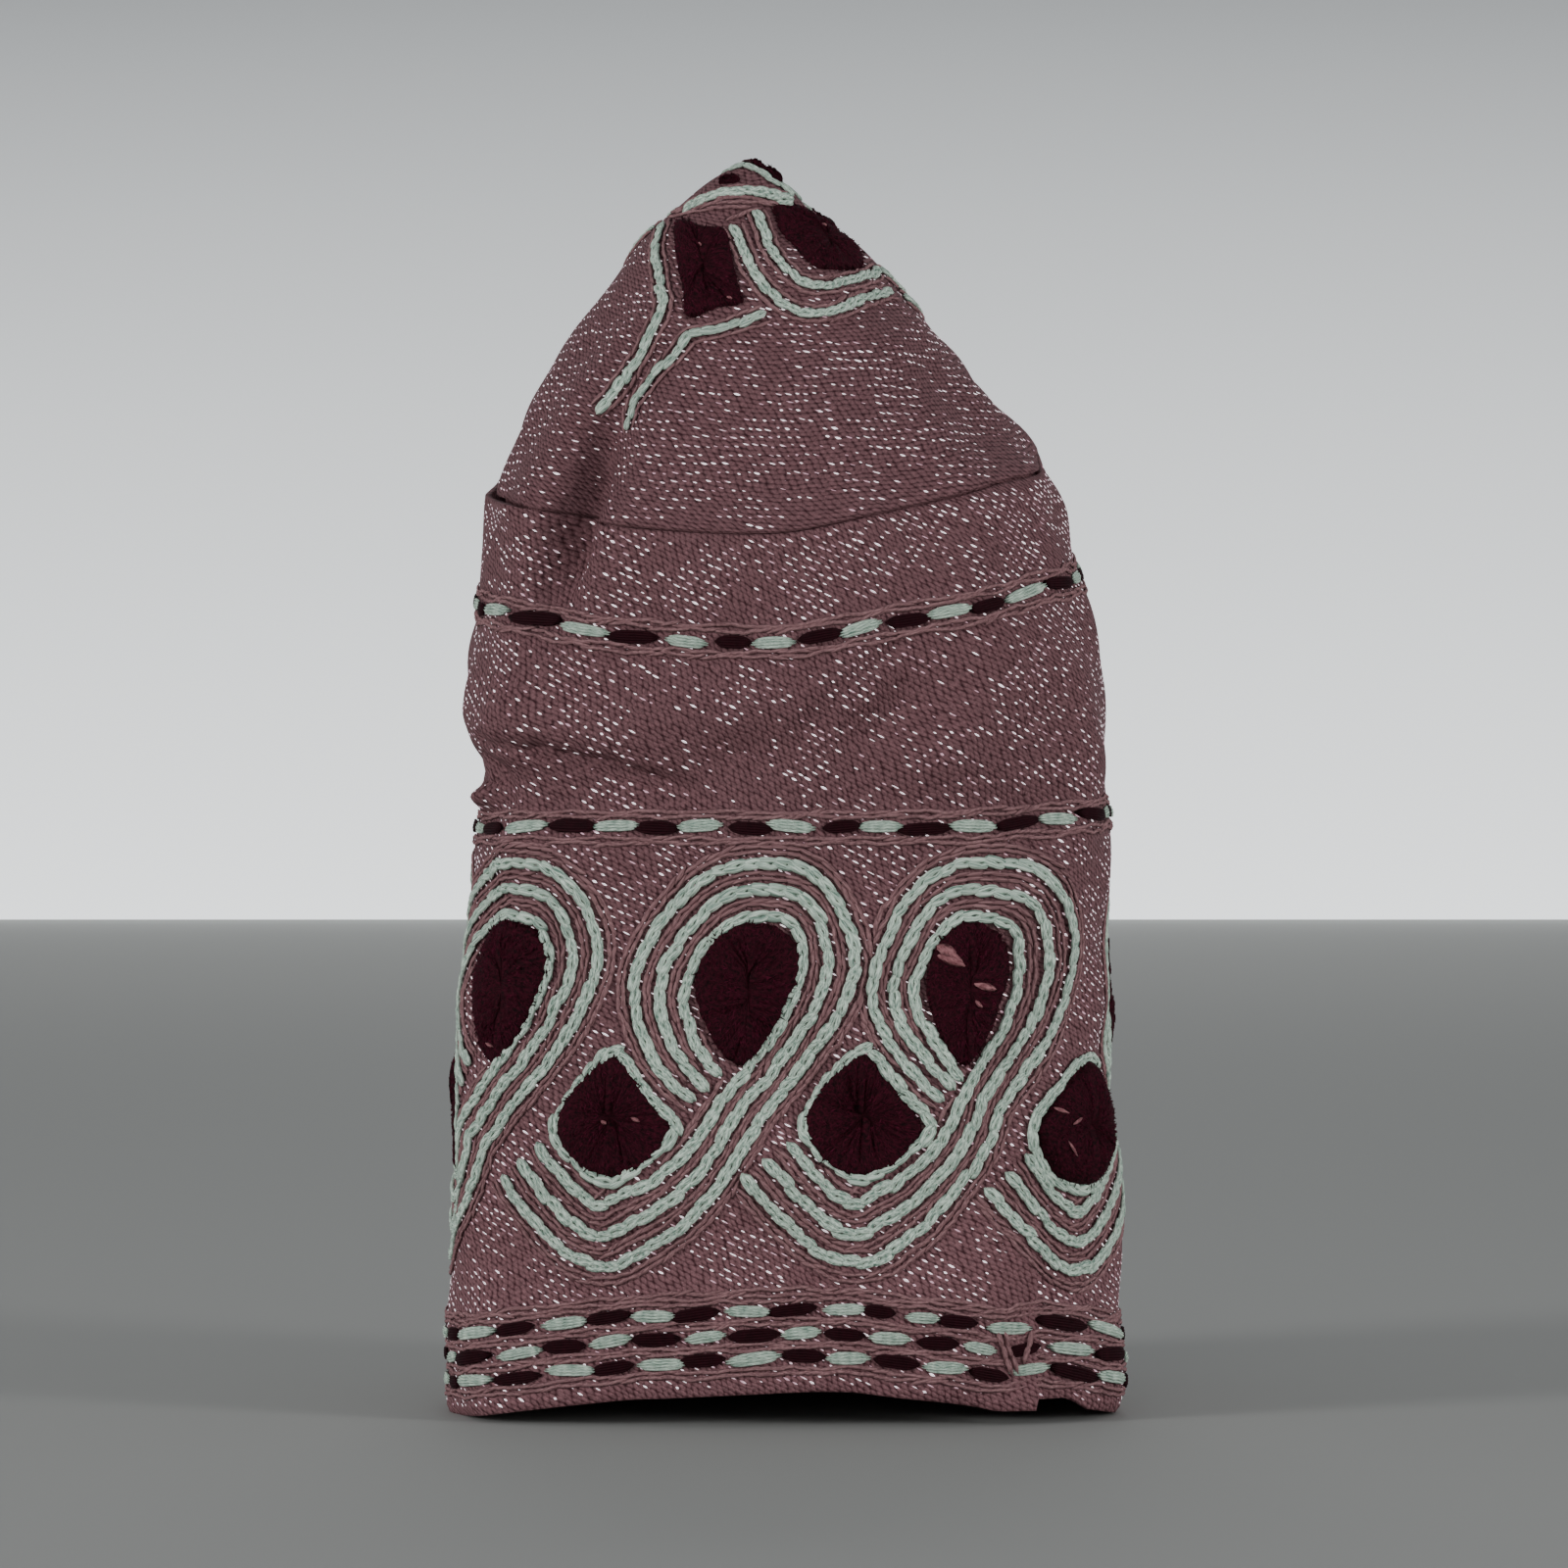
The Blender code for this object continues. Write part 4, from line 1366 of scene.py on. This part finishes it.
rng = np.random.default_rng(3)
for row in dashRows.values():
    front = rowPath(row, -0.25 * girth, 0.25 * girth)
    starts, ends = (lengthsAtPixels(front, columns) for columns in zip(*row["spans"]))
    starts[0] = max(starts[0], ends[0] - rowLook["longest"])
    ends[-1] = min(ends[-1], starts[-1] + rowLook["longest"])
    dashes = list(zip(starts, ends))
    left = girth - (dashes[-1][1] - dashes[0][0])
    count = 2 * int(round(left / (girth / rowLook["roundCount"]) / 2)) + len(dashes) % 2
    step = left / count
    for k in range(count):
        begin = ends[-1] + step * k + step * rowLook["gap"]
        start, end = rng.uniform(*rowLook["start"]) * step, step * rng.uniform(*rowLook["end"])
        dashes.append((begin + start, begin + end))
    colours = ("mint", "maroon") if row["first"] == "mint" else ("maroon", "mint")
    for k, (start, end) in enumerate(dashes):
        colour, middle = colours[k % 2], (start + end) / 2
        path = rowPath(row, middle - 0.003, middle + 0.003, rng.uniform(-0.0002, 0.0002))
        path = np.column_stack([path, np.zeros(len(path))])
        place = stitchLine(path, np.broadcast_to((0.0, 0.0, 1.0), path.shape), 1.0, slant=rng.uniform(-2, 2))
        longer, wider = dashSize[colour]
        size = ((end - start) * longer / rowLook["dashLength"], wider * rng.uniform(0.92, 1.06), 1)
        addMarks(dashMarks[colour], *place, size)
    for shift in row["threads"]:
        points, normals = layOnWall(rowPath(row, 0, girth + 0.001, shift))
        addMarks(rowMarks, *stitchLine(points, normals, rowLook["pitch"], stemSize), rowLook["threadSize"])
print("rows drawn")


# Lines on the crown, as corners in the photo's pixels
crownMint = {
    "leftLong": (
        (677, 230), (671, 249), (672, 272), (675, 295), (677, 315), (669, 332), (657, 357), (642, 380),
        (627, 401), (610, 417),
    ),
    "leftUnder": (
        (780, 321), (761, 328), (738, 336), (715, 341), (701, 345), (692, 360), (675, 376), (661, 395),
        (648, 414), (642, 437),
    ),
    "rightUnder": (
        (749, 232), (757, 253), (766, 274), (782, 295), (799, 311), (826, 321), (854, 318), (877, 307),
        (907, 298),
    ),
    "rightOver": (
        (772, 217), (778, 232), (787, 257), (803, 276), (820, 290), (841, 292), (864, 288), (887, 282),
        (895, 277),
    ),
    "tipLow": (
        (700, 214), (716, 206), (733, 199), (747, 197), (760, 196), (775, 198), (787, 200), (805, 206),
    ),
    "tipHigh": ((746, 175), (756, 170), (765, 172), (778, 180), (787, 186), (798, 192), (805, 199)),
}
crownMauve = {
    "tipFold": ((684, 222), (707, 217), (734, 213), (763, 211)),
    "tipBandLow": ((686, 218), (712, 211), (740, 207), (766, 207), (785, 210)),
    "tipBandHigh": ((692, 214), (712, 206), (740, 202), (768, 203), (795, 209)),
    "underFold": ((743, 224), (757, 219), (772, 213)),
}
crownSize = {
    "pitch": 0.0034, "width": 0.0029, "height": 0.9,
    "wider": {"tipLow": 1.45, "tipHigh": 0.62},         # of the usual width
    "beside": (0.0024, -0.0024),
    "bare": ("tipHigh",),       # no mauve lines lie beside it
}
# A mended place in the rim's rows, near the lap: threads as ends in the photo's pixels
mendThreads = (
    ((1018, 1361), (1030, 1400)), ((1024, 1360), (1036, 1398)), ((1053, 1362), (1045, 1388)),
)
mendSize = (1, 1.2, 1.6)


def backTwin(points):
    # The same line on the far side of the crown, which the photo hides, as far down as the seam
    hits = []
    for point in points:
        x, y = cloth.axisAt(point[2])
        out = Vector((point[0] - x, y - point[1], 0))
        if out.length < 0.004:
            continue
        out.normalize()
        hit = hitCloth(Vector((x, y, point[2])) + out * 0.15, -out)
        if hit and hit[0].z > seamHeight(math.atan2(out.y, out.x)) + 0.004:
            hits.append(hit)
    return evenPath(hits)


def addMauve(points, normals, size=(1, 1, 1)):
    addMarks(mauveMarks, *stitchLine(points, normals, stemSize["pitch"], stemSize), size)


for name, corners in crownMint.items():
    line = layFromPhoto(corners)
    for points, normals in (line, backTwin(line[0])):
        place = stitchLine(points, normals, crownSize["pitch"], chainSize)
        wide = crownSize["width"] / chainSize["width"] * crownSize["wider"].get(name, 1)
        addMarks(mintMarks, *place, (crownSize["pitch"] / chainSize["pitch"], wide, crownSize["height"]))
        if name not in crownSize["bare"]:
            for side in crownSize["beside"]:
                addMauve(*besideOnCloth(points, normals, side))
for corners in crownMauve.values():
    addMauve(*layFromPhoto(corners))
for ends in mendThreads:
    addMauve(*layFromPhoto(ends), mendSize)
print("crown lines drawn")


# Glints: bright floats of the weave, in slanting files, whose brightness is a painted highlight
glints = {
    "wall": {"along": 0.0026, "across": 0.0021, "slant": 27, "kept": 0.62, "swing": 0.40},
    "crown": {"along": 0.0029, "across": 0.0023, "slant": 17, "kept": 0.60, "swing": 0.36},
    "size": (0.00165, 0.00062, 0.00026),
    "sizeShares": (0.55, 1.3),
    "jitter": 0.00022,
    "shift": 0.37,          # of the distance in a file, from one file to the next
    # painted light: more glowing glints near the rim and the upper wall and fewer on the bulge make those
    # places lighter and darker
    "heights": (0, 0.05, 0.14, 0.155, 0.18, 0.205, 0.24, 0.300, 0.308),
    "heightShares": (1.25, 1.25, 1.0, 0.70, 0.70, 0.95, 1.15, 1.0, 0.10),      # how many there are there
    "patch": 0.020,         # size of the patches that shine more or less
}
glintMarks = newMarks()


def glintTurn(normals, degrees):
    across = unit(np.cross((0, 0, 1), normals))
    up = np.cross(normals, across)
    turned = math.radians(-degrees)
    return across * math.cos(turned) + up * math.sin(turned)


rng = np.random.default_rng(21)
patchWays = rng.normal(size=(7, 3))
patchWays *= 2 * math.pi / glints["patch"] / np.linalg.norm(patchWays, axis=1, keepdims=True)
patchWays *= rng.uniform(0.5, 1.5, (7, 1))
patchPhases = rng.uniform(0, 6.28, 7)


def keepSome(points, look):
    # Glints come in patches, because the folds turn the cloth to and from the light
    shine = np.sin(points @ patchWays.T + patchPhases).mean(axis=1) * 2.2
    most = np.interp(points[:, 2], glints["heights"], glints["heightShares"])
    return rng.uniform(0, 1, len(points)) < most * (look["kept"] + look["swing"] * shine)


def addGlints(face, angles, heights, look):
    points, normals = cloth.pointsAt(face, angles, heights)
    kept = keepSome(points, look)
    points, normals = points[kept], normals[kept]
    size = rng.uniform(*glints["sizeShares"], (len(points), 3))
    addMarks(glintMarks, points, glintTurn(normals, look["slant"]), normals, size)


look = glints["wall"]
turned = math.radians(look["slant"])
along, across = np.meshgrid(np.arange(-0.15, 0.62, look["along"]), np.arange(-0.02, 0.52, look["across"]))
along = along + glints["shift"] * look["along"] * (np.arange(along.shape[0])[:, None] % 3)
along, across = along.ravel(), across.ravel()
along = along + rng.normal(0, glints["jitter"], len(along))
across = across + rng.normal(0, glints["jitter"], len(across))
at = along * math.cos(turned) + across * math.sin(turned)
z = across * math.cos(turned) - along * math.sin(turned)
angles = angleOf(at)
inside = (z < seamHeight(angles) - 0.001) & (z > cloth.edgeAt(cloth.bottom, angles) + 0.002)
kept = (at > 0) & (at < girth) & inside
addGlints("wallFace", angles[kept], z[kept], look)

look = glints["crown"]
for k, height in enumerate(np.arange(0.215, cloth.tip.z - 0.003, look["across"])):
    radius = cloth.radii["outer"][int(height / clothForm["rowStep"])].mean()
    turn = look["along"] / radius
    angles = np.arange(0, 2 * math.pi, turn) + (k * glints["shift"] % 1) * look["along"] / radius
    angles = angles + rng.normal(0, glints["jitter"] / radius, len(angles))
    angles = angles[height > seamHeight(angles) + 0.002]
    if radius > 0.006 and len(angles):
        addGlints("crownFace", angles, height + rng.normal(0, glints["jitter"], len(angles)), look)


# Padded flowers: threads run from a pucker in the middle out to the edge
padLook = {
    "around": 112, "outward": 10, "puckerWidth": 0.00110, "rough": 0.00026, "edgeUneven": 0.012,
    "puckerSway": 0.0009, "puckerWave": 700,
    "start": 0.012,         # rays on to the cloth start this far off it
    "tuckIn": 0.97, "tuckDepth": 0.0004, "heartDepth": 0.16, "underDepth": 0.0003,
    "wall": 0.22, "domePower": (2.6, 0.62), "dip": 0.26,        # the pad's section, as shares of its rise
    "bandRise": 0.0031, "crownRise": 0.0021, "tipRise": 0.7, "fill": 0.7, "seed": 40,
    "pucker": {"teardrop": 0.45, "lozenge": 0.10, "fullLozenge": 0.10, "patch": 0.30, "oval": 0.25},
    "pileDepth": 0.7,
    "pile": {"teardrop": 1.75, "lozenge": 1.0},     # for each square mm of the outline's box, or 1.1
    "pileSize": (0.0017, 0.0004, 0.0004),
    "hairs": 1.1,           # for each mm of half the outline's width and length
    "hairSize": (0.0019, 0.00034, 0.00034),
}
hairMarks, pileMarks = newMarks(), newMarks()


def addPad(name, pad, rise, replaced=True):
    rng = np.random.default_rng(padLook["seed"] + sum(map(ord, name)))
    count = padLook["around"]
    outline = smoothPath(pad["outline"], closed=True)
    lengths = lengthsAlong(outline)
    rim = readAlong(outline, lengths, np.arange(count) / count * lengths[-1])
    uneven = 1 + rng.normal(0, padLook["edgeUneven"], (count, 1))
    rim = rim * uneven * (pad["halfWidth"], pad["halfLength"])
    off = np.array(pad["off"])
    pucker = rim[:, 1] * padLook["pucker"][pad["kind"]]
    heart = np.stack([padLook["puckerWidth"] * np.sign(rim[:, 0]), pucker], 1)
    wave = np.sin(heart[:, 1] * padLook["puckerWave"] + rng.uniform(0, 6))
    heart[:, 0] += padLook["puckerSway"] * wave
    ridge = rng.normal(0, 1, count)

    def place(spots, heights):
        ring = []
        for (right, top), height in zip(spots, heights):
            away = pad["off"] * padLook["start"]
            start = pad["centre"] + pad["across"] * right + pad["up"] * top + away
            hit = hitCloth(start, -pad["off"])
            ring.append(np.array(hit[0] if hit else start - away) + off * height)
        return ring

    rings = [place(rim * padLook["tuckIn"], np.full(count, -padLook["tuckDepth"]))]
    wall, (inner, outer) = padLook["wall"], padLook["domePower"]
    for share in np.linspace(1, 0, padLook["outward"]):
        dome = (1 - share ** inner) ** outer
        body = rise * (wall + (1 - wall) * dome) * (1 - padLook["dip"] * (1 - share) ** 3)
        uneven = ridge * padLook["rough"] * math.sin(math.pi * (0.15 + 0.75 * share))
        rings.append(place(heart + (rim - heart) * share, body + uneven))
    rings = np.array(rings)
    rows = len(rings)
    heartPoint = rings[-1].mean(axis=0) - off * rise * padLook["heartDepth"]
    under = rings[0].mean(axis=0) - off * padLook["underDepth"]
    corners = np.concatenate([rings.reshape(-1, 3), [heartPoint, under]])
    faces, flat = [], []
    top, last = (rows - 1) * count, rows * count
    for k in range(count):
        after, low, high = (k + 1) % count, k / count, (k + 1) / count
        for i in range(rows - 1):
            here, there = i * count, (i + 1) * count
            faces.append((here + k, there + k, there + after, here + after))
            flat += [(i / rows, low), ((i + 1) / rows, low), ((i + 1) / rows, high), (i / rows, high)]
        faces += [(top + k, last, top + after), (after, last + 1, k)]
        flat += [(1, low), (1, low), (1, high), (0, high), (0, low), (0, low)]
    mesh = meshFrom(name, corners, faces, flat)
    if mesh.polygons[0].normal.dot(Vector(rings[0][0] - under)) < 0:
        mesh.flip_normals()
    piece = addPiece(name, mesh, materials["maroonPile"])
    if replaced:
        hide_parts(name)
    # Short ends of thread that stand up over the whole pad
    pile = padLook["pile"].get(pad["kind"], 1.1)
    grains = int(pile * 4e6 * pad["halfWidth"] * pad["halfLength"] * padLook["pileDepth"])
    ring, side = rng.uniform(1.2, rows - 2.2, grains), rng.integers(0, count, grains)
    low = ring.astype(int)
    share = (ring - low)[:, None]
    outward = unit(rings[0, side] - under)
    spots = rings[low, side] * (1 - share) + rings[low + 1, side] * share
    spots = spots + np.cross(off, outward) * rng.normal(0, 0.0002, (grains, 1))
    way = unit(outward + rng.normal(0, 0.5, (grains, 3)))
    addMarks(pileMarks, spots, way, np.broadcast_to(off, spots.shape), rng.uniform(0.5, 1.2, (grains, 3)))
    # Longer ones lie out over its edge
    hairCount = int(padLook["hairs"] * 1000 * (pad["halfWidth"] + pad["halfLength"]))
    low = rng.uniform(0, count, hairCount).astype(int) % count
    edge = rings[1][low]
    inward = unit(rings[3][low] - edge)
    bent = rng.normal(0, 0.22, (hairCount, 1))
    way = unit(-inward + np.cross(off, inward) * bent + off * rng.normal(0.05, 0.12, (hairCount, 1)))
    hairs = edge + inward * rng.uniform(0.0001, 0.0012, (hairCount, 1)) + off * 0.0001
    long = rng.uniform(0.5, 1.1, hairCount) * min(1, pad["halfWidth"] / 0.008)
    size = np.stack([long, rng.uniform(0.7, 1.2, hairCount), np.ones(hairCount)], 1)
    addMarks(hairMarks, hairs, way, np.broadcast_to(off, hairs.shape), size)
    return piece


padPieces = []
for name in padNames:
    rise = padLook["crownRise" if name.startswith("crown") else "bandRise"]
    rise *= fullPad["fuller"] if name == fullPad["name"] else 1
    padPieces.append(addPad(name, padPlaces[name], rise))

# Two small maroon pieces by the crown's point
for name in ("tipPad", "tipPatch"):
    addPad(name, padFromPhoto(name, "oval"), padLook["crownRise"] * padLook["tipRise"], replaced=False)
shellTrees += [treeOf(piece.data) for piece in padPieces]

# Pale threads that show through the pads' pile: ends in the photo's pixels, and how wide they are
flecks = (
    ((960, 966), (972, 974), 2.6), ((962, 976), (980, 984), 2.0), ((966, 968), (978, 980), 1.6),
    ((998, 1004), (1012, 1010), 1.9), ((997, 1022), (1001, 1027), 0.9),
    ((1078, 1131), (1088, 1135), 0.8), ((1096, 1146), (1102, 1142), 0.8), ((1092, 1166), (1096, 1176), 0.6),
    ((646, 1141), (651, 1144), 0.8), ((614, 1143), (618, 1147), 0.9), ((498, 1065), (502, 1068), 0.8),
    ((712, 249), (715, 250), 0.6), ((743, 303), (746, 305), 0.6), ((839, 229), (842, 231), 0.6),
)
fleckMarks = newMarks()
for start, end, wide in flecks:
    points, normals = layFromPhoto((start, end))
    longer = np.linalg.norm(points[-1] - points[0]) / stemSize["pitch"]
    addMarks(fleckMarks, *stitchLine(points + normals * 0.0001, normals, 1.0), (longer, wide, 0.8))
print("padded flowers made")


def stitchScale(size, unevenness, seed):
    return dict(zip(("Length", "Width", "Height", "Unevenness", "Seed"), (*size, unevenness, seed)))


joined = joinMarks(mintMarks)
chainMarks = {}
for name, side in (("mintChainFront", -1), ("mintChainBack", 1)):
    picked = joined["point"][:, 1] * side >= 0
    chainMarks[name] = {key: [values[picked]] for key, values in joined.items()}
chainScale = stitchScale((chainSize["pitch"], chainSize["width"], chainSize["height"]), 0.11, 1)
stemScale = stitchScale((stemSize["pitch"], stemSize["width"], stemSize["height"]), 0.08, 2)
rowScale = stitchScale((rowLook["pitch"], rowLook["width"], stemSize["height"]), 0.06, 3)
dashScale = stitchScale((rowLook["dashLength"], rowLook["dashHeight"], rowLook["dashRise"]), 0.02, 4)
glintScale = stitchScale(glints["size"], 0.1, 5)
hairScale = stitchScale(padLook["hairSize"], 0.1, 6)
pileScale = stitchScale(padLook["pileSize"], 0.1, 7)
for name, marks in chainMarks.items():
    plant(name, marks, "chainLink", chainScale, "mintWool")
plant("mauveLines", mauveMarks, "stemStitch", stemScale, "mauveWool")
plant("rowThreads", rowMarks, "stemStitch", rowScale, "mauveWool")
plant("mintDashes", mintDashes, "mintDash", dashScale, "mintWool", flat=True)
plant("maroonDashes", maroonDashes, "maroonDash", dashScale, "maroonSilk", flat=True)
plant("glints", glintMarks, "glintGrain", glintScale, "glint")
plant("padFlecks", fleckMarks, "stemStitch", stemScale, "fleckWool")
plant("padPile", pileMarks, "glintGrain", pileScale, "maroonNap")
plant("padHairs", hairMarks, "stemStitch", hairScale, "maroonSilk")
for template in templates.values():
    bpy.data.objects.remove(template)
total = sum(trianglesOf(o.data) for o in bpy.data.objects if o.type == "MESH")
print("stitches planted,", total, "triangles in all, the frame's with them")
